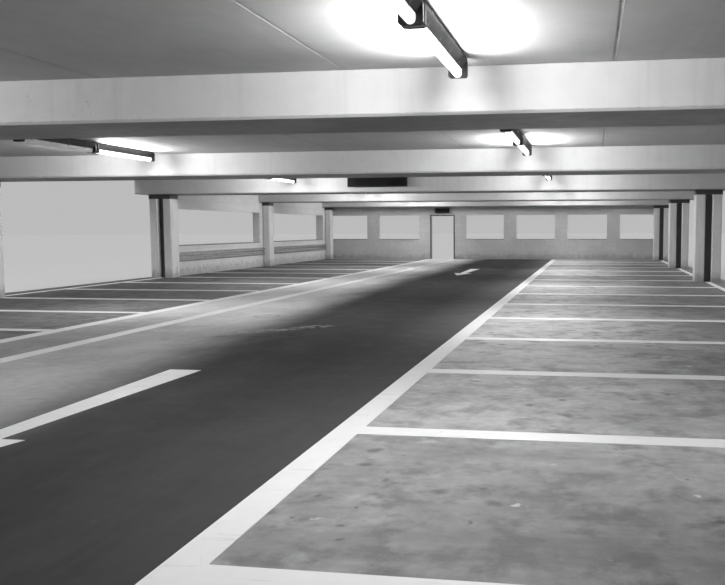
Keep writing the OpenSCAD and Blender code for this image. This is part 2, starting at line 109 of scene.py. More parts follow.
class Graph:
    """Adds nodes to one shader tree and joins them."""

    def __init__(self, tree: bpy.types.NodeTree, here: Socket) -> None:
        """Keeps the tree, and the place on the object that its patterns are read at."""
        self.tree = tree
        self.here = Value(self, here)

    def wire(self, node: Node, feeds: Feeds) -> None:
        """Links values to a node's inputs, or sets the inputs' own.

        Args:
            node: The node.
            feeds: What goes into its inputs; a colour is given as one grey, and None changes nothing.
        """
        for key, value in feeds.items():
            socket = node.inputs[key]
            if isinstance(value, Value):
                self.tree.links.new(value.socket, socket)
            elif value is not None:
                socket.default_value = (value, value, value, 1.0) if socket.type == "RGBA" else value

    def add(self, kind: str, feeds: Feeds, **settings: object) -> Node:
        """Adds one node.

        Args:
            kind: Its type.
            feeds: What goes into its inputs, by their name or number.
            **settings: Its own settings.

        Returns:
            The node.
        """
        node = self.tree.nodes.new(kind)
        for name, value in settings.items():
            setattr(node, name, value)
        self.wire(node, feeds)
        return node

    def make(self, kind: str, feeds: Feeds, output: str | int = 0, **settings: object) -> Value:
        """Adds one node and gives one of its outputs."""
        return Value(self, self.add(kind, feeds, **settings).outputs[output])

    def math(self, operation: str, *terms: Feed, clamp: bool = False) -> Value:
        """Works out one sum of up to three terms, which a clamp keeps from 0 to 1."""
        return self.make("ShaderNodeMath", dict(enumerate(terms)), operation=operation, use_clamp=clamp)

    def ramp(self, value: Feed, low: Feed, high: Feed, start: Feed = 0.0, end: Feed = 1.0) -> Value:
        """Eases from start to end as a value passes from low to high."""
        feeds = {"Value": value, "From Min": low, "From Max": high, "To Min": start, "To Max": end}
        return self.make("ShaderNodeMapRange", feeds, interpolation_type="SMOOTHSTEP")

    def near(self, value: Value, centre: float, half: float, soft: float) -> Value:
        """A band about one value: 1 over half its width each way, and then softly down to 0."""
        return self.ramp(abs(value - centre), half, half + soft, 1.0, 0.0)

    def blend(self, factor: Feed, first: Feed, second: Feed, mode: str = "MIX") -> Value:
        """Mixes two colours, where the factor is the share of the second."""
        feeds = {0: factor, 6: first, 7: second}
        return self.make("ShaderNodeMix", feeds, 2, data_type="RGBA", blend_type=mode)

    def layers(self, colour: Feed, *coats: tuple[Value, float, Feed]) -> Value:
        """Lays coats of dirt and wear over a colour.

        Args:
            colour: What lies below them.
            *coats: Where each one lies, its share there and its own colour, from the lowest up.

        Returns:
            The colour of them all.
        """
        for where, share, tone in coats:
            colour = self.blend(where if share == 1.0 else where * share, colour, tone)
        return colour

    def noise(self, scale: Feed, detail: float = 2.0, rough: float = 0.5, at: Feed = None) -> Value:
        """Smooth noise: its waves in a metre, its finer layers, their strength and where it is read."""
        feeds = {"Vector": at or self.here, "Scale": scale, "Detail": detail, "Roughness": rough}
        return self.make("ShaderNodeTexNoise", feeds)

    def cells(self, scale: Feed, at: Feed = None, **settings: str) -> tuple[Value, ...]:
        """Cells about scattered points: the way to the nearest point or edge, and each cell's colour."""
        node = self.add("ShaderNodeTexVoronoi", {"Vector": at or self.here, "Scale": scale}, **settings)
        return tuple(Value(self, output) for output in node.outputs[:2])

    def pushed(self, scale: float, detail: float, reach: float) -> Value:
        """The place here, pushed about by noise."""
        push = self.make("ShaderNodeTexNoise", {"Vector": self.here, "Scale": scale, "Detail": detail}, 1)
        return self.make("ShaderNodeVectorMath", {0: self.here, 1: push.stretch((reach,) * 3)})

    def split(self, vector: Feed = None) -> tuple[Value, ...]:
        """The X, Y and Z of a vector, or of the place here."""
        parts = self.add("ShaderNodeSeparateXYZ", {0: vector or self.here}).outputs
        return tuple(Value(self, part) for part in parts)

    def facing(self) -> Value:
        """The face's own normal."""
        return self.make("ShaderNodeNewGeometry", {}, "Normal")

    def seen(self) -> Value:
        """Tells the rays that show a background from those that light the part.

        Returns:
            1 for camera, mirror and glass rays, and 0 for the others.
        """
        rays = self.add("ShaderNodeLightPath", {}).outputs
        camera, glossy, clear = (
            Value(self, rays[f"Is {kind} Ray"]) for kind in ("Camera", "Glossy", "Transmission")
        )
        return self.math("MAXIMUM", self.math("MAXIMUM", camera, glossy), clear)

    def bump(self, height: Feed, depth: float, strength: float, normal: Feed = None) -> Value:
        """Turns a height, whose 1 is a real depth, into a normal, which may start from another."""
        feeds = {"Strength": strength, "Distance": depth, "Height": height, "Normal": normal}
        return self.make("ShaderNodeBump", feeds)

    def surface(self, colour: Feed, rough: Feed, normal: Feed = None, more: Feeds | None = None) -> None:
        """Wires colour, roughness, normal and whatever else a finish has into its shader."""
        feeds = {"Base Color": colour, "Roughness": rough, "Normal": normal} | (more or {})
        self.wire(self.tree.nodes["Principled BSDF"], feeds)


class Effect:
    """A shader node group that more than one finish uses, and that is placed by calling it."""

    title = ""
    takes: tuple[str, ...] = ()
    gives: tuple[str, ...] = ()
    vectors = {"position", "squeeze", "normal"}

    def wire(self, graph: Graph, **taken: Value) -> tuple[Value, ...]:
        """Puts the nodes between the group's inputs and outputs; each effect has its own."""
        raise NotImplementedError

    def tree(self) -> bpy.types.NodeTree:
        """Builds the group at its first use.

        Returns:
            The group, which is shared from then on.
        """
        found = bpy.data.node_groups.get(self.title)
        if found:
            return found
        tree = bpy.data.node_groups.new(self.title, "ShaderNodeTree")
        for side, names in (("INPUT", ("position", *self.takes)), ("OUTPUT", self.gives)):
            for name in names:
                kind = "NodeSocketVector" if name in self.vectors else "NodeSocketFloat"
                tree.interface.new_socket(name, in_out=side, socket_type=kind)
        inputs = tree.nodes.new("NodeGroupInput").outputs
        graph = Graph(tree, inputs["position"])
        results = self.wire(graph, **{name: Value(graph, inputs[name]) for name in self.takes})
        graph.add("NodeGroupOutput", dict(zip(self.gives, results)))
        return tree

    def __call__(self, graph: Graph, **feeds: Feed) -> Value | tuple[Value, ...]:
        """Places the group in a finish.

        Args:
            graph: The finish's tree.
            **feeds: What goes into each of its inputs.

        Returns:
            Its outputs, or its only one.
        """
        group = graph.add("ShaderNodeGroup", {"position": graph.here, **feeds}, node_tree=self.tree())
        values = tuple(Value(graph, output) for output in group.outputs)
        return values if len(values) > 1 else values[0]


class Clouds(Effect):
    """Soft patches of light and dark, as on old concrete and dusty floors."""

    title = "clouds"
    takes = ("size", "contrast")
    gives = ("tone",)

    def wire(self, graph: Graph, size: Value, contrast: Value) -> tuple[Value, ...]:
        """Adds fine noise to broad noise and spreads the sum about its middle."""
        both = graph.noise(7.0 / size, 5.0, 0.6) * 0.4 + graph.noise(1.0 / size, 3.0) * 0.6
        return (graph.math("MULTIPLY_ADD", both - 0.5, contrast * 3.0, 0.5, clamp=True),)


class Grain(Effect):
    """Sand grain with open pores."""

    title = "grain"
    takes = ("size",)
    gives = ("height", "pores")

    def wire(self, graph: Graph, size: Value) -> tuple[Value, ...]:
        """Sinks round pores into fine noise.

        Args:
            graph: The group's tree.
            size: The width of a grain.

        Returns:
            The height and the pores.
        """
        rate = 1.0 / size
        pores = graph.ramp(graph.cells(rate * 0.14)[0], 0.06, 0.14, 1.0, 0.0)
        return graph.math("SUBTRACT", graph.noise(rate, 2.0, 0.7), pores, clamp=True), pores


class Streaks(Effect):
    """Streaks drawn out along one direction."""

    title = "streaks"
    takes = ("squeeze", "least", "soft")
    gives = ("mask",)

    def wire(self, graph: Graph, squeeze: Value, least: Value, soft: Value) -> tuple[Value, ...]:
        """Keeps the high parts of noise that is squeezed across the streaks."""
        drawn = graph.noise(1.0, 4.0, 0.6, graph.here.stretch(squeeze))
        return (graph.ramp(drawn, least, least + soft),)


class Stains(Effect):
    """Oil spots in loose groups, rings of dried water, and specks of spilt paint."""

    title = "stains"
    takes = ("spacing", "share")
    gives = ("spots", "rings", "specks")

    def wire(self, graph: Graph, spacing: Value, share: Value) -> tuple[Value, ...]:
        """Rounds small cells into spots where broad noise is high, and large cells into rings.

        Args:
            graph: The group's tree.
            spacing: The way from one ring to the next.
            share: How much of the floor is stained.

        Returns:
            The spots, the rings and the specks.
        """
        rate = 1.0 / spacing
        low = graph.math("SUBTRACT", 0.75, share)
        group = graph.ramp(graph.noise(rate * 0.6), low, low + 0.08)
        warped = graph.pushed(6.0, 3.0, 0.17)
        away, colour = graph.cells(rate * 2.8, warped, voronoi_dimensions="2D")
        reach = graph.math("MAXIMUM", graph.split(colour)[0] * 0.5 - 0.18, 0.02)
        spots = graph.ramp(away, reach * 0.15, reach, 1.0, 0.0) * group
        specks = graph.ramp(graph.noise(rate * 5.0, 3.0), 0.71, 0.77)
        away, colour = graph.cells(rate, warped, voronoi_dimensions="2D")
        size, chance, _ = graph.split(colour)
        rim = abs(away - (size * 0.10 + 0.06))
        ringed = graph.math("LESS_THAN", chance, share * 0.6)
        return spots, graph.ramp(rim, 0.004, 0.018, 1.0, 0.0) * ringed, specks


class Cracks(Effect):
    """Hairline cracks that wander and break off."""

    title = "cracks"
    takes = ("spacing", "width")
    gives = ("mask",)

    def wire(self, graph: Graph, spacing: Value, width: Value) -> tuple[Value, ...]:
        """Draws the borders of warped cells, and hides a share of them.

        Args:
            graph: The group's tree.
            spacing: The way from one crack to the next.
            width: The width of a crack.

        Returns:
            Where the cracks are.
        """
        rate = 1.0 / spacing
        edge = graph.cells(rate, graph.pushed(3.0, 4.0, 0.5), feature="DISTANCE_TO_EDGE")[0]
        line = graph.ramp(edge, 0.0, width * rate, 1.0, 0.0)
        return (line * graph.ramp(graph.noise(rate), 0.5, 0.62),)


class EdgeWear(Effect):
    """Arrises that are softened, rubbed and chipped."""

    title = "edge wear"
    takes = ("width", "size")
    gives = ("mask", "normal")

    def wire(self, graph: Graph, width: Value, size: Value) -> tuple[Value, ...]:
        """Finds edges by how far a rounded normal leans from the face's own.

        Args:
            graph: The group's tree.
            width: How far in from an edge the wear goes.
            size: The size of a chip.

        Returns:
            Where the arris is worn, and the normal of the rounded arris.
        """
        rounded = graph.make("ShaderNodeBevel", {"Radius": width}, samples=2)
        feeds = {0: rounded, 1: graph.facing()}
        level = graph.make("ShaderNodeVectorMath", feeds, "Value", operation="DOT_PRODUCT")
        lean = graph.ramp(level, 0.72, 0.99, 1.0, 0.0)
        broken = graph.noise(1.0 / size, 4.0, 0.65)
        return graph.ramp(lean * 0.32 + broken, 0.78, 0.84), rounded


class Splash(Effect):
    """Dirt thrown up from the floor, thick at the foot and gone a little above."""

    title = "splash"
    takes = ("floor", "reach")
    gives = ("mask",)

    def wire(self, graph: Graph, floor: Value, reach: Value) -> tuple[Value, ...]:
        """Fades with height, along an uneven edge."""
        share = (graph.noise(6.0, 5.0, 0.65) - 0.5) * 1.6 + (graph.split()[2] - floor) / reach
        return (graph.ramp(share, 0.0, 1.0, 1.0, 0.0),)


class Dust(Effect):
    """Dust that has settled on what faces up."""

    title = "dust"
    takes = ("size",)
    gives = ("mask",)

    def wire(self, graph: Graph, size: Value) -> tuple[Value, ...]:
        """Multiplies how far a face looks up by patchy noise."""
        patches = graph.ramp(graph.noise(1.0 / size, 4.0, 0.6), 0.35, 0.65)
        return (graph.ramp(graph.split(graph.facing())[2], 0.2, 0.95) * patches,)


class Courses(Effect):
    """Blocks laid in half bond, with joints between them."""

    title = "courses"
    takes = ("length", "height")
    gives = ("joint", "tone")

    def wire(self, graph: Graph, length: Value, height: Value) -> tuple[Value, ...]:
        """Lays the pattern along whichever way the wall runs.

        Args:
            graph: The group's tree.
            length: The length of a block and its joint.
            height: The height of a block and its joint.

        Returns:
            The joints, and each block's own tone.
        """
        x, y, z = graph.split()
        feeds = {
            "Vector": graph.make("ShaderNodeCombineXYZ", {0: x + y, 1: z}),
            "Color1": 0.0,
            "Color2": 1.0,
            "Mortar": 0.5,
            "Scale": 1.0,
            "Mortar Size": 0.006,
            "Mortar Smooth": 0.4,
            "Brick Width": length,
            "Row Height": height,
        }
        outputs = graph.add("ShaderNodeTexBrick", feeds).outputs
        return Value(graph, outputs["Fac"]), Value(graph, outputs["Color"])


CLOUDS = Clouds()
GRAIN = Grain()
STREAKS = Streaks()
STAINS = Stains()
CRACKS = Cracks()
EDGE_WEAR = EdgeWear()
SPLASH = Splash()
DUST = Dust()
COURSES = Courses()


class Finish:
    """A procedural material that is made once and shared by what it covers."""

    title: str

    def dress(self, graph: Graph) -> None:
        """Wires the finish into its shader; each finish has its own way."""
        raise NotImplementedError

    def material(self) -> bpy.types.Material:
        """Makes the material at its first use.

        Returns:
            The material.
        """
        found = bpy.data.materials.get(self.title)
        if found:
            return found
        material = bpy.data.materials.new(self.title)
        material.use_nodes = True
        place = material.node_tree.nodes.new("ShaderNodeTexCoord").outputs["Object"]
        self.dress(Graph(material.node_tree, place))
        return material


def coat(finish: Finish, *nodes: str) -> None:
    """Gives CAD nodes a finish.

    Args:
        finish: The finish.
        *nodes: The names of the nodes.
    """
    for name in nodes:
        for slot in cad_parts[name].material_slots:
            slot.material = finish.material()
        log.info("%s: %s", name, finish.title)


@dataclass(frozen=True)
class FloorCoating(Finish):
    """A rolled floor coating that wheels have polished and dirtied."""

    title: str = "deck coating"
    base: float = 0.25
    worn: float = 0.36
    grime: float = 0.12
    uneven: float = 0.16
    mottled: float = 0.45
    freckled: float = 0.16
    smudged: float = 0.25
    wheeled: float = 0.25
    brushed: float = 0.15
    spotted: float = 0.6
    squeeze: tuple[float, float, float] = (2.4, 0.14, 1.0)
    stain_spacing: float = 1.0
    stain_share: float = 0.22
    gloss: tuple[float, float] = (0.55, 0.8)
    shine: float = 0.25

    def marks(self, graph: Graph, colour: Value) -> Value:
        """Adds the marks of one kind of floor to its colour; the plain coating has none."""
        return colour

    def dress(self, graph: Graph) -> None:
        """Layers patches, wheel streaks, stains and cracks over a sandy coat.

        Args:
            graph: The material's tree.
        """
        mottle = CLOUDS(graph, size=0.42, contrast=1.5)
        smudge = graph.ramp(graph.noise(3.0, 5.0, 0.65), 0.46, 0.66)
        fine = tuple(factor * 6 for factor in self.squeeze)
        spots, rings, specks = STAINS(graph, spacing=self.stain_spacing, share=self.stain_share)
        cracks = CRACKS(graph, spacing=2.6, width=0.003)
        low, high = self.base * (1 - self.uneven), self.base * (1 + self.uneven)
        colour = graph.layers(
            graph.blend(CLOUDS(graph, size=1.6, contrast=1.2), low, high),
            (mottle, self.mottled, self.worn),
            (CLOUDS(graph, size=0.09, contrast=1.3), self.freckled, self.grime),
            (smudge, self.smudged, self.grime),
            (STREAKS(graph, squeeze=self.squeeze, least=0.5, soft=0.16), self.wheeled, self.grime),
            (STREAKS(graph, squeeze=fine, least=0.42, soft=0.3), self.brushed, self.worn),
        )
        colour = graph.layers(
            self.marks(graph, colour),
            (spots, self.spotted, self.grime * 0.5),
            (rings, 0.4, self.grime),
            (specks, 0.35, self.worn * 1.4),
            (cracks, 0.35, self.grime * 0.5),
        )
        rough = graph.ramp(mottle - spots * 0.3, 0.0, 1.0, *self.gloss)
        normal = graph.bump(GRAIN(graph, size=0.004)[0] - cracks, depth=0.0012, strength=0.6)
        graph.surface(colour, rough, normal, {"Specular IOR Level": self.shine})


@dataclass(frozen=True)
class AisleCoating(FloorCoating):
    """The dark coating of the aisle, pale along its edges from dust and feet, and on its left side also from
    a painted sheen.
    """

    title: str = "aisle coating"
    base: float = 0.052
    worn: float = 0.085
    grime: float = 0.033
    freckled: float = 0.14
    smudged: float = 0.15
    wheeled: float = 0.18
    brushed: float = 0.14
    spotted: float = 0.25
    squeeze: tuple[float, float, float] = (3.0, 0.16, 1.0)
    stain_spacing: float = 1.6
    stain_share: float = 0.2
    gloss: tuple[float, float] = (0.62, 0.85)
    shine: float = 0.03
    walkway_edge: float = -1.70
    # The colour of the pale band on the left: dust and a painted sheen.
    dusty: float = 0.66
    dust_and_sheen_from: float = 0.10
    dust_and_sheen_full: float = -1.45
    dust_and_sheen_drift: float = 0.075
    shoulder: float = 0.12
    shoulder_from: float = 1.9
    shoulder_full: float = 3.05
    near_y: float = -13.5
    open_y: float = -3.0
    ghost_at: tuple[float, float] = (0.13, -8.25)
    ghost_turn: float = 45.0
    ghost_half: tuple[float, float] = (1.0, 0.12)
    ghost: float = 0.50
    track_out: float = 0.82
    lane_x: float = 0.95

    def marks(self, graph: Graph, colour: Value) -> Value:
        """Adds the wheel tracks, the pale edges, the walkway and the ghost of an old line.

        Args:
            graph: The material's tree.
            colour: The colour so far.

        Returns:
            The colour with the marks.
        """
        x, y, _ = graph.split()
        broken = graph.noise(4.0, 5.0, 0.7, graph.here.stretch((3.0, 1.0, 1.0)))
        drift = graph.noise(1.1, 4.0, 0.6, graph.here.stretch((1.0, 0.35, 1.0)))
        swayed = x + (drift * 0.7 - 0.35)
        track = graph.near(abs(x - self.lane_x), self.track_out, 0.16, 0.3)
        away = graph.ramp(y, self.near_y, self.open_y)
        # The pale band on the left of the aisle is dust and a painted sheen of light on the floor; it grows
        # paler away from the open end.
        leaning = graph.math("MINIMUM", y, 0.0) * self.dust_and_sheen_drift + swayed
        dust = graph.ramp(leaning, self.dust_and_sheen_full, self.dust_and_sheen_from, 1.0, 0.0) * (away * 0.40 + 0.62)
        trodden = CLOUDS(graph, size=0.7, contrast=1.6) * 0.30 + 0.85
        side = graph.ramp(swayed, self.shoulder_from, self.shoulder_full) * (away * 0.7 + 0.1)
        cos, sin = math.cos(math.radians(self.ghost_turn)), math.sin(math.radians(self.ghost_turn))
        right, ahead = x - self.ghost_at[0], y - self.ghost_at[1]
        along = graph.near(right * cos + ahead * sin, 0.0, self.ghost_half[0], 0.3)
        across = graph.near(ahead * cos - right * sin, 0.0, self.ghost_half[1], 0.06)
        left_over = graph.ramp(graph.noise(9.0, 4.0, 0.7), 0.44, 0.60)
        walked = graph.ramp(broken * 0.06 + x, self.walkway_edge, self.walkway_edge + 0.03, 1.0, 0.0)
        return graph.layers(
            colour,
            (track, 0.2, self.grime),
            (graph.math("MULTIPLY", dust, trodden, clamp=True), 1.0, self.dusty),
            (side, 1.0, self.shoulder),
            (across * along * left_over, 0.55, self.ghost),
            (walked * graph.ramp(y, self.near_y, self.open_y, 0.45, 0.05), 1.0, self.shoulder),
        )


@dataclass(frozen=True)
class BayCoating(FloorCoating):
    """The coating of the parking spaces, with the dirt that cars leave in each and painted shade on their
    far side and at the open end.
    """

    title: str = "parking coating"
    base: float = 0.42
    worn: float = 0.74
    grime: float = 0.15
    uneven: float = 0.28
    mottled: float = 0.60
    freckled: float = 0.24
    smudged: float = 0.60
    wheeled: float = 0.30
    brushed: float = 0.10
    spotted: float = 0.75
    squeeze: tuple[float, float, float] = (0.7, 2.4, 1.0)
    stain_spacing: float = 0.85
    stain_share: float = 0.26
    space_length: float = 2.5
    first_line: float = -18.59
    inner: tuple[float, float] = (4.9, 7.2)
    painted_shade: float = 0.85
    front: tuple[float, float] = (-15.5, -11.0)
    front_painted_shade: float = 0.6

    def marks(self, graph: Graph, colour: Value) -> Value:
        """Adds painted shade on the far part of each space and at the open end, the darker middle of each
        space and faint tyre smears.

        Args:
            graph: The material's tree.
            colour: The colour so far.

        Returns:
            The colour with the marks.
        """
        x, y, _ = graph.split()
        ragged = graph.noise(0.9, 4.0, 0.6) * 1.2 - 0.6
        # Painted shade: the spaces are darkened away from the aisle, where the light of the lamp rows falls
        # off, and near the open end.
        inner = graph.ramp(abs(x) + ragged, *self.inner, 0.0, self.painted_shade)
        front = graph.ramp(y + ragged, *self.front, self.front_painted_shade, 0.0)
        painted_shade = graph.math("MAXIMUM", inner, front)
        colour = graph.blend(painted_shade, colour, self.grime / self.base, "MULTIPLY")
        phase = graph.math("FRACT", (y - self.first_line) / self.space_length)
        patch = graph.ramp(graph.noise(1.0, 4.0, 0.6, graph.here.stretch((0.4, 1.0, 1.0))), 0.45, 0.66)
        wheels = graph.near(graph.math("PINGPONG", phase, 0.5), 0.19, 0.05, 0.05)
        middle = graph.near(phase, 0.5, 0.1, 0.3)
        return graph.layers(colour, (wheels * patch, 0.22, self.grime), (middle * patch, 0.25, self.grime))


@dataclass(frozen=True)
class RoadPaint(Finish):
    """Thick road paint that tyres have rubbed thin and cracked."""

    title: str = "road paint coat"
    fresh: float = 0.87
    dirty: float = 0.77
    under: float = 0.28

    def dress(self, graph: Graph) -> None:
        """Rubs the paint through in grains and streaks.

        Args:
            graph: The material's tree.
        """
        dirt = CLOUDS(graph, size=0.9, contrast=1.2)
        worn = graph.ramp(graph.noise(1.4, 3.0) * 0.45 + graph.noise(38.0, 5.0, 0.75), 0.92, 1.04)
        cracks = CRACKS(graph, spacing=0.35, width=0.0025)
        colour = graph.layers(
            self.fresh,
            (dirt, 0.55, self.dirty),
            (STREAKS(graph, squeeze=(3.0, 14.0, 1.0), least=0.6, soft=0.1), 0.25, self.dirty * 0.6),
            (worn, 0.6, self.under),
            (cracks, 0.3, self.under),
        )
        relief = GRAIN(graph, size=0.006)[0] - graph.math("MAXIMUM", worn, cracks)
        normal = graph.bump(relief, depth=0.001, strength=0.6)
        graph.surface(colour, graph.ramp(dirt, 0.0, 1.0, 0.42, 0.62), normal)


@dataclass(frozen=True)
class PaintedConcrete(Finish):
    """Masonry paint on cast concrete: grain, run marks, a dirty foot and chipped arrises."""

    title: str = "painted concrete coat"
    paint: float = 0.64
    shade: float = 0.54
    concrete: float = 0.28
    dirt: float = 0.18
    floor: float = 0.27
    reach: float = 0.35
    run: float = 0.25
    underside_shade: float = 0.22

    def dress(self, graph: Graph) -> None:
        """Layers paint, runs, splash, painted shade on faces that look down, and chips.

        Args:
            graph: The material's tree.
        """
        tone = CLOUDS(graph, size=1.3, contrast=1.0)
        chips, rounded = EDGE_WEAR(graph, width=0.012, size=0.05)
        height, pores = GRAIN(graph, size=0.005)
        cracks = CRACKS(graph, spacing=1.9, width=0.002)
        # Faces that look down are darkened: painted shade on the undersides.
        under = graph.ramp(graph.split(graph.facing())[2], -0.98, -0.8, 0.85, 0.0)
        colour = graph.layers(
            graph.blend(tone, self.paint, self.shade),
            (STREAKS(graph, squeeze=(9.0, 9.0, 0.35), least=0.52, soft=0.2), self.run, self.dirt),
            (pores, 0.25, self.dirt),
            (SPLASH(graph, floor=self.floor, reach=self.reach), 0.6, self.dirt),
            (cracks, 0.4, self.dirt),
            (under, 1.0, graph.blend(tone, self.underside_shade, self.underside_shade * 0.85)),
            (chips, 1.0, self.concrete),
        )
        relief = height - graph.math("MAXIMUM", cracks, chips)
        normal = graph.bump(relief, depth=0.0012, strength=0.5, normal=rounded)
        graph.surface(colour, graph.ramp(tone, 0.0, 1.0, 0.5, 0.72), normal)


@dataclass(frozen=True)
class PaintedBlock(Finish):
    """Painted blockwork, its joints showing through the paint."""

    title: str = "painted block coat"
    paint: float = 0.60
    shade: float = 0.50
    dirt: float = 0.20
    block_length: float = 0.45
    block_height: float = 0.225
    floor: float = 0.27

    def dress(self, graph: Graph) -> None:
        """Sinks the joints, and dirties them and the foot of the wall.

        Args:
            graph: The material's tree.
        """
        joint, lay = COURSES(graph, length=self.block_length, height=self.block_height)
        tone = CLOUDS(graph, size=1.0, contrast=1.0)
        colour = graph.layers(
            graph.blend(tone, self.paint, self.shade),
            (lay, 0.16, self.shade * 0.7),
            (joint, 0.3, self.dirt),
            (SPLASH(graph, floor=self.floor, reach=0.4), 0.6, self.dirt),
        )
        relief = GRAIN(graph, size=0.006)[0] * 0.3 - joint + 1.0
        normal = graph.bump(relief, depth=0.003, strength=0.7)
        graph.surface(colour, graph.ramp(tone, 0.0, 1.0, 0.55, 0.75), normal)


@dataclass(frozen=True)
class CastSoffit(Finish):
    """The smooth underside of precast planks, stained beside its joints."""

    title: str = "plank soffit"
    pale: float = 0.44
    dull: float = 0.37
    stain: float = 0.22
    joint_at: float = 0.12
    joint_pitch: float = 2.50
    arris: float = 0.014

    def dress(self, graph: Graph) -> None:
        """Draws casting lines along the planks and stains along their joints.

        Args:
            graph: The material's tree.
        """
        tone = CLOUDS(graph, size=1.7, contrast=0.9)
        height, pores = GRAIN(graph, size=0.004)
        away = graph.math("PINGPONG", graph.split()[0] - self.joint_at, self.joint_pitch / 2)
        beside = graph.ramp(graph.noise(5.0, 4.0, 0.65) * 0.1 + away, 0.04, 0.13, 1.0, 0.0)
        colour = graph.layers(
            graph.blend(tone, self.pale, self.dull),
            (STREAKS(graph, squeeze=(16.0, 0.25, 1.0), least=0.5, soft=0.2), 0.10, self.stain),
            (beside, 0.12, self.stain),
            (graph.ramp(away, self.arris, self.arris + 0.012, 1.0, 0.0), 0.3, self.stain * 0.5),
            (pores, 0.5, self.stain * 0.6),
            (CRACKS(graph, spacing=2.2, width=0.002), 0.4, self.stain * 0.5),
        )
        normal = graph.bump(height, depth=0.001, strength=0.5)
        graph.surface(colour, graph.ramp(tone, 0.0, 1.0, 0.6, 0.8), normal)


@dataclass(frozen=True)
class BareConcrete(Finish):
    """Grey concrete with pores, worn edges and lichen-dark weathering."""

    title: str = "bare concrete"
    pale: float = 0.40
    dull: float = 0.28
    dark: float = 0.14

    def dress(self, graph: Graph) -> None:
        """Weathers what faces up and what water runs down.

        Args:
            graph: The material's tree.
        """
        tone = CLOUDS(graph, size=0.8, contrast=1.2)
        chips, rounded = EDGE_WEAR(graph, width=0.012, size=0.04)
        height, pores = GRAIN(graph, size=0.005)
        colour = graph.layers(
            graph.blend(tone, self.pale, self.dull),
            (STREAKS(graph, squeeze=(7.0, 7.0, 0.3), least=0.5, soft=0.2), 0.35, self.dark),
            (DUST(graph, size=0.3), 0.3, self.dark),
            (pores, 0.6, self.dark * 0.7),
            (chips, 0.5, self.pale * 1.3),
        )
        normal = graph.bump(height - chips, depth=0.0015, strength=0.6, normal=rounded)
        graph.surface(colour, graph.ramp(tone, 0.0, 1.0, 0.65, 0.85), normal)


@dataclass(frozen=True)
class DarkPaint(Finish):
    """Near-black paint or plastic, dulled by dust and scuffs."""

    title: str = "dark paint coat"
    paint: float = 0.022
    scuffed: float = 0.07
    gloss: float = 0.5
    shine: float = 0.5
    floor: float = 0.27

    def dress(self, graph: Graph) -> None:
        """Lays dust and scuffs over the paint.

        Args:
            graph: The material's tree.
        """
        tone = CLOUDS(graph, size=0.35, contrast=1.2)
        chips, rounded = EDGE_WEAR(graph, width=0.004, size=0.03)
        colour = graph.layers(
            graph.blend(tone, self.paint, self.paint * 1.7),
            (DUST(graph, size=0.1), 0.6, self.scuffed),
            (SPLASH(graph, floor=self.floor, reach=0.3), 0.5, self.scuffed),
            (chips, 0.5, self.scuffed),
        )
        rough = graph.ramp(tone, 0.0, 1.0, self.gloss - 0.08, self.gloss + 0.14)
        normal = graph.bump(GRAIN(graph, size=0.003)[0], depth=0.0005, strength=0.4, normal=rounded)
        graph.surface(colour, rough, normal, {"Specular IOR Level": self.shine})


@dataclass(frozen=True)
class Galvanised(Finish):
    """Hot dipped zinc with its spangle, dulled and streaked by weather."""

    title: str = "zinc coat"
    bright: float = 0.60
    dull: float = 0.38
    stain: float = 0.20
    metal: float = 0.75

    def dress(self, graph: Graph) -> None:
        """Gives each crystal its own tone and gloss.

        Args:
            graph: The material's tree.
        """
        facet = graph.split(graph.cells(55.0)[1])[0]
        tone = CLOUDS(graph, size=0.7, contrast=1.2)
        runs = STREAKS(graph, squeeze=(12.0, 12.0, 0.8), least=0.55, soft=0.15)
        dust = DUST(graph, size=0.2)
        colour = graph.layers(
            graph.blend(facet * 0.5 + tone * 0.5, self.bright, self.dull),
            (runs, 0.35, self.stain),
            (dust, 0.5, self.stain),
        )
        rough = facet * 0.14 + graph.ramp(tone, 0.0, 1.0, 0.36, 0.52)
        rounded = EDGE_WEAR(graph, width=0.003, size=0.03)[1]
        normal = graph.bump(facet, depth=0.0003, strength=0.3, normal=rounded)
        matt = graph.math("MAXIMUM", dust, runs)
        metal = graph.ramp(matt, 0.0, 1.0, self.metal, self.metal * 0.4)
        graph.surface(colour, rough, normal, {"Metallic": metal})


@dataclass(frozen=True)
class StovedSteel(Finish):
    """Stove enamel on folded sheet steel, dusty on top."""

    title: str = "stove enamel"
    paint: float = 0.42
    shade: float = 0.33
    dusty: float = 0.22
    gloss: float = 0.38
    shine: float = 0.5

    def dress(self, graph: Graph) -> None:
        """Lays faint orange peel under dust.

        Args:
            graph: The material's tree.
        """
        tone = CLOUDS(graph, size=0.5, contrast=1.0)
        chips, rounded = EDGE_WEAR(graph, width=0.003, size=0.02)
        colour = graph.layers(
            graph.blend(tone, self.paint, self.shade),
            (DUST(graph, size=0.08), 0.6, self.dusty),
            (chips, 0.6, self.dusty),
        )
        rough = graph.ramp(tone, 0.0, 1.0, self.gloss, self.gloss + 0.2)
        normal = graph.bump(graph.noise(260.0), depth=0.0003, strength=0.3, normal=rounded)
        graph.surface(colour, rough, normal, {"Specular IOR Level": self.shine})


@dataclass(frozen=True)
class OpalDiffuser(Finish):
    """Opal plastic, lit from inside or at rest."""

    title: str = "opal diffuser"
    opal: float = 0.86
    yellowed: float = 0.72
    glow: float = 0.0

    def dress(self, graph: Graph) -> None:
        """Lights the plastic where it is clean.

        Args:
            graph: The material's tree.
        """
        tone = CLOUDS(graph, size=0.2, contrast=1.1)
        clean = graph.blend(tone, self.opal, self.yellowed)
        colour = graph.layers(clean, (DUST(graph, size=0.05), 0.4, self.yellowed * 0.6))
        ripple = graph.noise(3.0, at=graph.here.stretch((1.0, 60.0, 1.0)))
        normal = graph.bump(ripple, depth=0.0004, strength=0.3)
        glow = {"Emission Color": graph.blend(tone, 1.0, 0.94), "Emission Strength": self.glow}
        graph.surface(colour, graph.ramp(tone, 0.0, 1.0, 0.28, 0.45), normal, glow if self.glow else None)


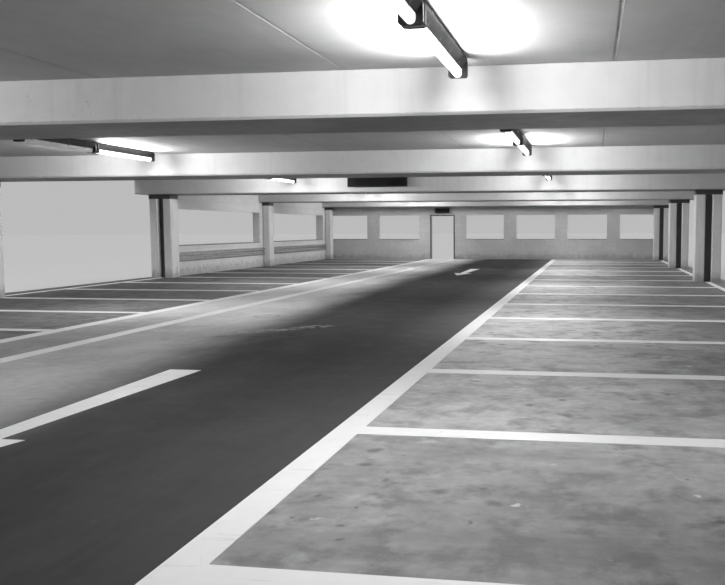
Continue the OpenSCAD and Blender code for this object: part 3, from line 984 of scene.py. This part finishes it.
@dataclass(frozen=True)
class Mastic(Finish):
    """Grout or sealant pressed into a joint by a tool."""

    title: str = "sealant"
    tone: float = 0.12

    def dress(self, graph: Graph) -> None:
        """Ripples and dirties the filling.

        Args:
            graph: The material's tree.
        """
        patch = CLOUDS(graph, size=0.3, contrast=1.3)
        ripple = graph.noise(45.0, 3.0) * 0.7 + GRAIN(graph, size=0.003)[0]
        colour = graph.blend(patch, self.tone, self.tone * 1.9)
        normal = graph.bump(ripple, depth=0.001, strength=0.6)
        graph.surface(colour, graph.ramp(patch, 0.0, 1.0, 0.6, 0.85), normal)


@dataclass(frozen=True)
class PaleStudio(Finish):
    """The studio's floor, pale to the camera and duller to the light that it sends back."""

    title: str = "studio floor"
    tone: float = 0.50
    bounce: float = 0.22

    def dress(self, graph: Graph) -> None:
        """Mottles the floor a little and picks its tone by the kind of ray."""
        pale = graph.blend(CLOUDS(graph, size=6.0, contrast=0.6), self.tone, self.tone * 0.96)
        graph.surface(graph.blend(graph.seen(), self.bounce, pale), 0.9)


@dataclass(frozen=True)
class Box:
    """The lowest and the highest corner of a solid."""

    low: Vector
    high: Vector

    @property
    def centre(self) -> Vector:
        """The middle of the box."""
        return (self.low + self.high) / 2

    @property
    def size(self) -> Vector:
        """The lengths of its sides."""
        return self.high - self.low


def box_of(node: str) -> Box:
    """The box of a CAD node."""
    return Box(*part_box(node))


def corners(node: str) -> list[Corner]:
    """The corners of a CAD node's mesh, rounded so that shared ones are equal."""
    return [tuple(round(part, 4) for part in vertex.co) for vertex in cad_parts[node].data.vertices]


def solids_of(node: str) -> list[Box]:
    """Finds the separate solids of one CAD node.

    Args:
        node: The node's name.

    Returns:
        The solids' boxes, from left to right and then from near to far.
    """
    points = corners(node)
    leader = {point: point for point in points}

    def head(point: Corner) -> Corner:
        """Follows the leaders up from one corner.

        Args:
            point: The corner.

        Returns:
            The corner that leads its solid.
        """
        while leader[point] != point:
            leader[point] = leader[leader[point]]
            point = leader[point]
        return point

    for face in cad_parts[node].data.polygons:
        for one, other in pairwise(face.vertices):
            leader[head(points[one])] = head(points[other])
    groups: dict[Corner, list[Corner]] = {}
    for point in leader:
        groups.setdefault(head(point), []).append(point)
    boxes = [
        Box(Vector([min(part) for part in zip(*group)]), Vector([max(part) for part in zip(*group)]))
        for group in groups.values()
    ]
    return sorted(boxes, key=lambda box: (round(box.centre.x, 2), box.centre.y))


def place(origin: Vector, up: Vector = Z, across: Vector = X) -> Matrix:
    """A place for a small solid.

    Args:
        origin: Where its own origin goes.
        up: Where its Z points.
        across: Where its X points.

    Returns:
        The matrix that puts it there.
    """
    turned = Matrix((across, up.cross(across), up)).transposed().to_4x4()
    turned.translation = origin
    return turned


def stand(name: str, data: bpy.types.ID) -> bpy.types.Object:
    """Puts a new object into the scene.

    Args:
        name: Its name.
        data: Its mesh, light or camera.

    Returns:
        The object.
    """
    thing = bpy.data.objects.new(name, data)
    bpy.context.scene.collection.objects.link(thing)
    return thing


def circle(sides: int) -> list[tuple[float, float]]:
    """The cosine and sine of each corner of a round outline."""
    return [(math.cos(math.tau * k / sides), math.sin(math.tau * k / sides)) for k in range(sides)]


class Solids:
    """Collects closed solids and makes one piece of them."""

    def __init__(self) -> None:
        """Starts with an empty mesh."""
        self.mesh = bmesh.new()

    def skin(self, rings: Sequence[Sequence[Vector]]) -> None:
        """Closes rings of points into a solid.

        Args:
            rings: Rings of as many points each, from one end to the other.
        """
        loops = [[self.mesh.verts.new(point) for point in ring] for ring in rings]
        for below, above in pairwise(loops):
            for k in range(len(below)):
                self.mesh.faces.new((below[k - 1], below[k], above[k], above[k - 1]))
        self.mesh.faces.new(loops[0][::-1])
        self.mesh.faces.new(loops[-1])

    def prism(self, outline: Outline, at: Matrix, length: float) -> None:
        """Draws an outline out along its own Z."""
        self.skin([[at @ Vector((x, y, z)) for x, y in outline] for z in (0.0, length)])

    def turned(self, profile: Outline, at: Matrix, sides: int) -> None:
        """Turns a profile, given as radius and height of each ring, about its own Z."""
        self.skin([[at @ Vector((r * x, r * y, h)) for x, y in circle(sides)] for r, h in profile])

    def piece(self, name: str, finish: Finish, slot: str, smooth: bool = False) -> bpy.types.Object:
        """Makes the piece, which rides on the part.

        Args:
            name: The piece's name.
            finish: Its finish.
            slot: The record's material slot; not used.
            smooth: Whether its shallow edges are shaded smooth.

        Returns:
            The piece.
        """
        bmesh.ops.recalc_face_normals(self.mesh, faces=self.mesh.faces)
        data = bpy.data.meshes.new(name)
        self.mesh.to_mesh(data)
        self.mesh.free()
        if smooth:
            data.shade_smooth()
            data.set_sharp_from_angle(angle=SHARP_FROM)
        data.materials.append(finish.material())
        piece = stand(name, data)
        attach(piece, ROOT)
        log.info("%s: %d faces", name, len(data.polygons))
        return piece


@dataclass(frozen=True)
class Fastener:
    """A bolt or screw on a face, with a washer under its head and a stud through it if it has them."""

    head_r: float
    head_h: float
    sides: int = 12
    washer_r: float = 0.0
    washer_h: float = 0.0
    washer_sides: int = 16
    stud_r: float = 0.0
    stud_h: float = 0.0
    stud_sides: int = 10
    stud_tip: float = 0.002
    chamfer: float = 0.35

    def add(self, solids: Solids, at: Matrix) -> None:
        """Sets one on its face, with its head out along Z.

        Args:
            solids: What it goes into.
            at: The face that it sits on.
        """
        base = self.washer_h
        if base:
            solids.turned([(self.washer_r, 0.0), (self.washer_r, base)], at, self.washer_sides)
        top = base + self.head_h
        cut = self.head_h * self.chamfer
        crown = [(self.head_r, base), (self.head_r, top - cut), (self.head_r - cut, top)]
        solids.turned(crown, at, self.sides)
        if self.stud_h:
            tip, cut = top + self.stud_h, self.stud_tip
            stud = [(self.stud_r, top), (self.stud_r, tip - cut), (self.stud_r - cut, tip)]
            solids.turned(stud, at, self.stud_sides)


WHITE_CONCRETE = PaintedConcrete(paint=0.82, shade=0.74)
BEAM_PAINT = PaintedConcrete(title="beam paint", paint=0.63, shade=0.56, run=0.10, reach=0.01)
PARAPET_PAINT = PaintedConcrete(title="parapet paint", paint=0.62, shade=0.48, run=0.5, reach=0.2, floor=3.4)
BLOCKWORK = PaintedBlock()
WHITE_BLOCK = PaintedBlock(title="white block coat", paint=0.80, shade=0.72, dirt=0.28)
CONCRETE = BareConcrete()
LEFT_BAYS = BayCoating(title="left parking coating", base=0.17, worn=0.26, grime=0.06, painted_shade=0.55)
# Near-black paint, which on the column webs and heads stands for shade.
DARK_PAINT_AND_SHADE = DarkPaint(paint=0.045, scuffed=0.10)
BLACK_PLASTIC = DarkPaint(title="black plastic coat", paint=0.012, floor=-9.0)
SIGN_BLACK = DarkPaint(title="sign coat", paint=0.007, scuffed=0.02, gloss=0.45, shine=0.12, floor=-9.0)
ZINC = Galvanised()
LIGHT_STEEL = StovedSteel(paint=0.075, shade=0.065, dusty=0.08, gloss=0.5, shine=0.08)
CLIP_STEEL = StovedSteel(title="clip steel", paint=0.12, shade=0.09, dusty=0.12, gloss=0.35, shine=0.2)


@dataclass(frozen=True)
class ParkingLevel:
    """The two parking floors and their paint."""

    def build(self) -> None:
        """Coats the floors and paints the lines."""
        coat(CONCRETE, "ground_slab")
        coat(AisleCoating(), "aisle_surfacing")
        coat(BayCoating(), "right_bay_surfacing")
        coat(LEFT_BAYS, "left_bay_surfacing")
        coat(FloorCoating(), "deck_topping")
        lines = ("aisle_lines", "left_space_lines", "right_space_lines", "direction_arrows", "deck_lines")
        coat(RoadPaint(), *lines)


@dataclass(frozen=True)
class Structure:
    """Columns, band beams and deck planks, with the grout between the planks."""

    bays: int = 5
    grout: tuple[tuple[float, float], ...] = ((0.0120, 0.0016), (0.0056, 0.0080), (0.0240, 0.16))

    def build(self) -> None:
        """Coats the concrete and fills each joint between two planks, almost flush with the soffit."""
        for side in ("left", "right"):
            coat(WHITE_CONCRETE, f"{side}_column_legs")
            # Near black on the webs and heads is painted shade: the shade in the recess between the legs and
            # the beam's shadow over each head.
            coat(DARK_PAINT_AND_SHADE, f"{side}_column_webs", f"{side}_column_heads")
        coat(BEAM_PAINT, *(f"band_beam_{k + 1}" for k in range(self.bays + 1)))
        planks = [f"deck_planks_{k + 1}" for k in range(self.bays)]
        coat(CastSoffit(), *planks)
        solids = Solids()
        outline = [*self.grout, *((-x, y) for x, y in self.grout[::-1])]
        for bay in planks:
            for one, other in pairwise(solids_of(bay)):
                start = Vector(((one.high.x + other.low.x) / 2, one.high.y, one.low.z))
                solids.prism(outline, place(start, -Y), one.size.y)
        solids.piece("joint_grout", Mastic(title="plank grout", tone=0.25), "slab_concrete")


@dataclass(frozen=True)
class Walls:
    """The end wall, the infill walls and their sills."""

    sill: float = 0.95
    sill_h: float = 0.035
    sill_fall: float = 0.012
    sill_out: float = 0.025
    sill_gap: float = 0.002
    nose: float = 0.002
    seat: float = 0.004

    def build(self) -> None:
        """Coats the walls and lays the sills."""
        coat(BLOCKWORK, "end_wall")
        coat(WHITE_BLOCK, "left_infill_walls")
        coat(DARK_PAINT_AND_SHADE, "end_door_frame")
        solids = Solids()
        level = box_of("aisle_surfacing").high.z + self.sill
        for node, axis, along, across in (("end_wall", 0, X, Y), ("left_infill_walls", 1, -Y, X)):
            wall, step = box_of(node), along[axis]
            for ends in self.openings(node, axis, level):
                first, last = ends[:: int(step)]
                start = Vector((wall.centre.x, wall.centre.y, level))
                start[axis] = first + step * self.sill_gap
                length = abs(last - first) - 2 * self.sill_gap
                solids.prism(self.outline(wall.size.dot(across)), place(start, along, across), length)
        solids.piece("opening_sills", CONCRETE, "slab_concrete")

    def openings(self, node: str, axis: int, level: float) -> Iterator[tuple[float, float]]:
        """Finds the two ends of each opening in a wall along X or Y, from the corners at sill level."""
        ends = sorted({corner[axis] for corner in corners(node) if abs(corner[2] - level) < 0.001})
        return zip(ends[::2], ends[1::2])

    def outline(self, thickness: float) -> Outline:
        """A sill's section: a sloping top with its noses past both faces of the wall.

        Args:
            thickness: The wall's thickness.

        Returns:
            The section, with its high side first.
        """
        half, inner = thickness / 2 + self.sill_out, thickness / 2 - self.seat
        foot = [(-half, self.nose), (-inner, 0.0), (inner, 0.0), (half, self.nose)]
        return [*foot, (half, self.sill_h - self.sill_fall), (-half, self.sill_h)]


@dataclass(frozen=True)
class DeckEdge:
    """The parapets, their copings and the sealant between their panels."""

    set_back: float = 0.012
    tooling: float = 0.006

    def build(self) -> None:
        """Coats the parapets and seals their joints."""
        coat(PARAPET_PAINT, "left_parapet", "right_parapet", "end_parapet")
        coat(CONCRETE, "parapet_copings")
        solids = Solids()
        for name in ("left_parapet", "right_parapet"):
            for one, other in pairwise(solids_of(name)):
                low = Vector((one.low.x, one.high.y, one.low.z))
                high = Vector((one.high.x, other.low.y, one.high.z))
                self.seal(solids, Box(low, high), X)
        left, right = solids_of("end_parapet")
        outer = solids_of("left_parapet")[-1].high.x
        for x0, x1 in ((outer, left.low.x), (left.high.x, right.low.x), (right.high.x, -outer)):
            gap = Box(Vector((x0, left.low.y, left.low.z)), Vector((x1, left.high.y, left.high.z)))
            self.seal(solids, gap, Y)
        solids.piece("panel_sealant", Mastic(title="panel sealant", tone=0.07), "black_plastic")

    def seal(self, solids: Solids, gap: Box, across: Vector) -> None:
        """Fills one joint with a bead that is hollowed by the tool.

        Args:
            solids: What the bead goes into.
            gap: The joint.
            across: The direction through the parapet.
        """
        through = gap.size.dot(across)
        edge = (gap.size.x + gap.size.y - through) / 2
        face = through / 2 - self.set_back
        middle = face - self.tooling
        outline = [(-face, -edge), (-middle, 0.0), (-face, edge), (face, edge), (middle, 0.0), (face, -edge)]
        start = Vector((gap.centre.x, gap.centre.y, gap.low.z))
        solids.prism(outline, place(start, across=across), gap.size.z)


@dataclass(frozen=True)
class GuardRails:
    """Folded guard rails, their posts, splices and bolts."""

    sheet: float = 0.005
    rail_depth: float = 0.08
    crest: float = 0.046
    valley: float = 0.052
    edge: float = 0.018
    lip: float = 0.002
    plate: float = 0.015
    post_inset: float = 0.018
    splice_every: int = 2
    splice_l: float = 0.32
    splice_t: float = 0.004
    splice_gap: float = 0.0004
    bolt: Fastener = Fastener(0.016, 0.010, 16, 0.022, 0.003)
    nut: Fastener = Fastener(0.015, 0.014, 6, 0.021, 0.003, stud_r=0.009, stud_h=0.016)
    wall_bolt_pitch: float = 1.15

    def build(self) -> None:
        """Coats the steel and sets its bolts and splices."""
        coat(ZINC, "deck_rail_posts", "deck_guard_rails", "infill_guard_rails")
        self.anchors()
        self.rail_bolts()
        self.splices()

    def posts(self) -> Iterator[tuple[Box, Vector]]:
        """Finds the posts of the deck's rails.

        Returns:
            The box of each post and its base plate, and the way from it to the deck it guards.
        """
        rails = box_of("deck_guard_rails")
        for post in solids_of("deck_rail_posts"):
            x = post.centre.x
            out = -X if x > rails.high.x else X if x < rails.low.x else -Y
            yield post, out

    def anchors(self) -> None:
        """Sets four anchors in each post's base plate."""
        solids = Solids()
        for post, _ in self.posts():
            reach = post.size / 2 - Vector((self.post_inset, self.post_inset, 0))
            for sx, sy in product((-1, 1), repeat=2):
                x, y = post.centre.x + sx * reach.x, post.centre.y + sy * reach.y
                self.nut.add(solids, place(Vector((x, y, post.low.z + self.plate))))
        solids.piece("post_anchors", ZINC, "galvanised_steel")

    def rail_bolts(self) -> None:
        """Sets a bolt through the rail's valley at each post, and along the walls."""
        solids = Solids()
        rails = box_of("deck_guard_rails")
        for post, out in self.posts():
            x = post.centre.x if out.x == 0 else -out.x * (rails.high.x - self.sheet)
            y = post.centre.y if out.y == 0 else rails.high.y - self.sheet
            self.bolt.add(solids, place(Vector((x, y, rails.centre.z)), out, Z))
        face = box_of("infill_guard_rails").low.x + self.sheet
        for rail in solids_of("infill_guard_rails"):
            count = int(rail.size.y // self.wall_bolt_pitch)
            for k in range(count):
                y = rail.low.y + (k + 0.5) * rail.size.y / count
                self.bolt.add(solids, place(Vector((face, y, rail.centre.z)), X, Z))
        solids.piece("rail_bolts", ZINC, "galvanised_steel")

    def splices(self) -> None:
        """Laps a short folded plate over the rail at every second post of the long sides."""
        solids = Solids()
        rails = box_of("deck_guard_rails")
        fold = self.fold(rails.size.z / 2)
        for post, out in [(post, out) for post, out in self.posts() if out.x][:: self.splice_every]:
            along = Z.cross(out)
            middle = Vector((-out.x * (rails.high.x - self.rail_depth), post.centre.y, rails.centre.z))
            solids.prism(fold, place(middle - along * (self.splice_l / 2), along, -out), self.splice_l)
        solids.piece("rail_splices", ZINC, "galvanised_steel")

    def fold(self, half_height: float) -> Outline:
        """The outline of a splice plate, one sheet in front of the rail's folds.

        Args:
            half_height: Half of the rail's height.

        Returns:
            X and Y of its corners, with X into the rail.
        """
        back = self.rail_depth - self.sheet
        half = [
            (back, self.valley / 2),
            (0.0, (half_height - self.crest) / 2),
            (0.0, (half_height + self.crest) / 2),
            (back, half_height - self.edge),
            (back, half_height - self.lip),
        ]
        face = [(x, -y) for x, y in half[::-1]] + half
        front = [(x - self.splice_t, y) for x, y in face]
        return front + [(x - self.splice_gap, y) for x, y in face[::-1]]


@dataclass(frozen=True)
class Burning:
    """How one kind of batten burns: its plastic, and its lamps below it and at its sides."""

    opal: OpalDiffuser
    below: float = 0.0
    beside: float = 0.0


class State(Enum):
    """The states of the battens, which also name their pieces."""

    LIT = Burning(OpalDiffuser(title="lit diffuser", glow=3.0), below=120.0, beside=180.0)
    DIM = Burning(OpalDiffuser(title="dim diffuser", glow=1.1), below=144.0, beside=11.0)
    RESTING = Burning(OpalDiffuser(title="resting diffuser"))


@dataclass(frozen=True)
class BattenLights:
    """Two rows of batten lights: the far ones of each pair burn, the near ones glow or rest."""

    flutes: int = 18
    flute_depth: float = 0.0012
    foot_half: float = 0.040
    slope: tuple[float, float] = (0.040, 0.070)
    clips: int = 4
    clip_l: float = 0.022
    clip_t: float = 0.0016
    clip_gap: float = 0.0006
    clip_drop: float = 0.018
    clip_rise: float = 0.45
    screw: Fastener = Fastener(0.004, 0.0022, 10)
    screw_out: float = 0.050
    side_tilt: float = 12.0
    side_spread: float = 152.0
    end_share: float = 0.26
    set_back: float = 0.22
    left_share: float = 1.6
    lamp_gap: float = 0.005

    def build(self) -> None:
        """Coats the fittings, fits their diffusers and lights them."""
        coat(LIGHT_STEEL, "left_light_bodies", "right_light_bodies")
        coat(BLACK_PLASTIC, "light_end_caps")
        coat(CLIP_STEEL, "light_hangers")
        left, right = "left_light_diffusers", "right_light_diffusers"
        near, far = slice(0, None, 2), slice(1, None, 2)
        self.diffusers(State.LIT, (left, far), (right, far))
        self.diffusers(State.DIM, (right, near))
        self.diffusers(State.RESTING, (left, near))
        clips, screws = Solids(), Solids()
        for box in solids_of(left) + solids_of(right):
            self.clip_row(clips, box)
        for cap, side in product(solids_of("light_end_caps"), (-1, 1)):
            at = Vector((cap.centre.x + side * self.screw_out, cap.centre.y, cap.low.z))
            self.screw.add(screws, place(at, -Z))
        clips.piece("diffuser_clips", CLIP_STEEL, "hanger_steel")
        screws.piece("cap_screws", CLIP_STEEL, "hanger_steel")

    def diffusers(self, state: State, *groups: tuple[str, slice]) -> None:
        """Makes the diffusers of one state, and lights those that burn.

        Args:
            state: The state.
            *groups: The nodes that they stand for, and which of each node's solids they are.
        """
        solids = Solids()
        for node, which in groups:
            for box in solids_of(node)[which]:
                self.diffuser(solids, box)
                if state is not State.RESTING:
                    self.lamps(box, state.value)
        name = f"{state.name.lower()}_diffusers"
        piece = solids.piece(name, state.value.opal, "light_diffuser", smooth=True)
        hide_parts(*(node for node, _ in groups))

    def diffuser(self, solids: Solids, box: Box) -> None:
        """Draws out one fluted diffuser in the place of its plain solid.

        Args:
            solids: What it goes into.
            box: The plain solid's box.
        """
        radius = box.size.x / 2
        top, steps = box.size.z - radius, self.flutes * 2
        curve = [(radius - self.flute_depth * (k % 2), math.pi * (1 + k / steps)) for k in range(steps + 1)]
        outline = [(r * math.cos(a), r * math.sin(a)) for r, a in curve] + [(radius, top), (-radius, top)]
        start = Vector((box.centre.x, box.high.y, box.low.z + radius))
        solids.prism(outline, place(start, -Y), box.size.y)

    def lamps(self, box: Box, burning: Burning) -> None:
        """Puts four soft lamps round a lit diffuser: below it, at both sides and at its far end.

        Args:
            box: The diffuser's box.
            burning: How bright they are.
        """
        width, length, height = box.size.x, box.size.y - self.set_back, box.size.z
        back, drop = -self.set_back / 2, height / 2 + self.lamp_gap
        body = box_of("left_light_bodies").size.x / 2 + self.lamp_gap
        past = box.size.y / 2 + solids_of("light_end_caps")[0].size.y + self.lamp_gap
        quarter = math.pi / 2
        lean = quarter + math.radians(self.side_tilt)
        below, side = burning.below * (self.left_share if box.centre.x < 0 else 1.0), burning.beside
        faces = (
            ("below", (width, length), (0, back, -drop), (0, 0, 0), below, 180.0),
            ("right", (height, length), (body, back, 0), (0, -lean, 0), side, self.side_spread),
            ("left", (height, length), (-body, back, 0), (0, lean, 0), side, self.side_spread),
            ("far", (2 * width, height), (0, past, 0), (quarter, 0, 0), side * self.end_share, 180.0),
        )
        for name, size, away, turn, radiance, spread in faces:
            data = bpy.data.lights.new(f"lamp_{name}", "AREA")
            data.shape = "RECTANGLE"
            data.size, data.size_y = size
            data.energy = math.pi * radiance * size[0] * size[1]
            data.spread = math.radians(spread)
            lamp = stand(data.name, data)
            lamp.location = box.centre + Vector(away)
            lamp.rotation_euler = turn
            lamp.visible_camera = False

    def clip_row(self, solids: Solids, box: Box) -> None:
        """Hooks the clips of one light from up the body's slope to down the diffuser's side.

        Args:
            solids: What they go into.
            box: The light's diffuser.
        """
        side_x, foot, thick, gap = box.size.x / 2 + self.clip_gap, self.foot_half, self.clip_t, self.clip_gap
        end_x, end_z = (self.clip_rise * part for part in self.slope)
        strip = [
            (side_x, -self.clip_drop),
            (side_x, -gap),
            (foot + gap, -gap),
            (foot + end_x + gap, end_z - gap),
            (foot + end_x + gap + thick, end_z - gap - thick / 2),
            (foot + gap + thick, -gap - thick / 2),
            (side_x + thick, -gap - thick),
            (side_x + thick, -self.clip_drop),
        ]
        for k, side in product(range(self.clips), (-1, 1)):
            y = box.low.y + (k + 0.5) * box.size.y / self.clips
            start = Vector((box.centre.x, y + side * self.clip_l / 2, box.high.z))
            solids.prism(strip, place(start, -side * Y, side * X), self.clip_l)


@dataclass(frozen=True)
class Signs:
    """The two black box signs with their face trims."""

    border: float = 0.012
    proud: float = 0.003
    side_edge: float = 0.002
    edge: float = 0.014
    screw: Fastener = Fastener(0.006, 0.003)
    screw_in: tuple[float, float] = (0.040, 0.045)

    def build(self) -> None:
        """Coats the signs and frames their bare faces."""
        names = ("direction_sign", "doorway_sign")
        coat(SIGN_BLACK, *names)
        trims, screws = Solids(), Solids()
        for box in map(box_of, names):
            self.trim(trims, box)
            for sx, sz in product((-1, 1), repeat=2):
                x = box.centre.x + sx * (box.size.x / 2 - self.screw_in[0])
                z = box.centre.z + sz * (box.size.z / 2 - self.screw_in[1])
                self.screw.add(screws, place(Vector((x, box.low.y, z)), -Y))
        trims.piece("sign_trims", BLACK_PLASTIC, "black_plastic")
        screws.piece("sign_screws", CLIP_STEEL, "hanger_steel")

    def trim(self, solids: Solids, box: Box) -> None:
        """Lays four bars round the face of a sign.

        Args:
            solids: What they go into.
            box: The sign's box.
        """
        half_x, half_z = box.size.x / 2 - self.side_edge, box.size.z / 2 - self.edge
        in_x, in_z = half_x - self.border, half_z - self.border
        bars = (
            (-half_x, half_x, in_z, half_z),
            (-half_x, half_x, -half_z, -in_z),
            (-half_x, -in_x, -in_z, in_z),
            (in_x, half_x, -in_z, in_z),
        )
        at = place(Vector((box.centre.x, box.low.y, box.centre.z)), -Y)
        for x0, x1, z0, z1 in bars:
            solids.prism([(x0, z0), (x1, z0), (x1, z1), (x0, z1)], at, self.proud)


@dataclass(frozen=True)
class Viewpoint:
    """The camera that stands in the aisle at the open end."""

    spot: tuple[float, float, float] = (4.937, -19.196, 1.760)
    yaw: float = 8.609
    pitch: float = 4.600
    roll: float = -0.115
    focal_px: float = 795.2
    image_px: int = 725
    sensor: float = 36.0
    shift: float = -0.15
    reach: float = 500.0

    def build(self) -> None:
        """Makes the scene's camera."""
        data = bpy.data.cameras.new("viewpoint")
        data.sensor_width = self.sensor
        data.lens = self.focal_px / self.image_px * self.sensor
        data.shift_x = self.shift
        data.clip_end = self.reach
        camera = stand("viewpoint", data)
        camera.location = self.spot
        level = Euler((math.radians(90 - self.pitch), 0.0, math.radians(self.yaw))).to_matrix()
        camera.rotation_euler = (level @ Matrix.Rotation(math.radians(self.roll), 3, "Z")).to_euler()
        bpy.context.scene.camera = camera


@dataclass(frozen=True)
class Studio:
    """A pale floor under an even sky, with two soft suns."""

    floor_radius: float = 260.0
    floor_sides: int = 96
    sky: float = 0.85
    horizon: float = 0.03
    sky_from: float = 0.30
    sky_full: float = 0.80
    seen: float = 0.50
    sun_angle: float = 35.0
    sun_height: float = 60.0
    suns: tuple[tuple[str, float, float], ...] = (("key", -32.0, 1.0), ("fill", 148.0, 0.7))

    def build(self) -> None:
        """Makes the floor, the world, and a wide soft sun high over each of two corners."""
        bpy.context.scene.view_settings.view_transform = "Standard"
        self.floor()
        self.world()
        for name, turn, strength in self.suns:
            data = bpy.data.lights.new(name, "SUN")
            data.energy = strength
            data.angle = math.radians(self.sun_angle)
            stand(name, data).rotation_euler = (math.radians(90 - self.sun_height), 0.0, math.radians(turn))

    def floor(self) -> None:
        """Lays the stage's floor under the part."""
        data = bpy.data.meshes.new("studio_floor")
        rim = [(self.floor_radius * x, self.floor_radius * y, 0.0) for x, y in circle(self.floor_sides)]
        data.from_pydata(rim, [], [range(self.floor_sides)])
        data.materials.append(PaleStudio().material())
        stand("studio_floor", data)

    def world(self) -> None:
        """Lights the scene from above like an even sky, and shows the camera a plain pale ground."""
        world = bpy.data.worlds.new("studio")
        world.use_nodes = True
        bpy.context.scene.world = world
        world.node_tree.nodes.clear()
        way = world.node_tree.nodes.new("ShaderNodeTexCoord").outputs["Generated"]
        graph = Graph(world.node_tree, way)
        strength = graph.ramp(graph.split()[2], self.sky_from, self.sky_full, self.horizon, self.sky)
        light = graph.make("ShaderNodeBackground", {"Color": 1.0, "Strength": strength})
        ground = graph.make("ShaderNodeBackground", {"Color": 1.0, "Strength": self.seen})
        mixed = graph.make("ShaderNodeMixShader", {0: graph.seen(), 1: light, 2: ground})
        graph.add("ShaderNodeOutputWorld", {"Surface": mixed})


def main() -> None:
    """Builds the looks, from the camera to the smallest fittings."""
    logging.basicConfig(level=logging.INFO, format="%(name)s: %(message)s")
    for assembly in (
        Viewpoint,
        Studio,
        ParkingLevel,
        Structure,
        Walls,
        DeckEdge,
        GuardRails,
        BattenLights,
        Signs,
    ):
        assembly().build()


if __name__ == "__main__":
    main()
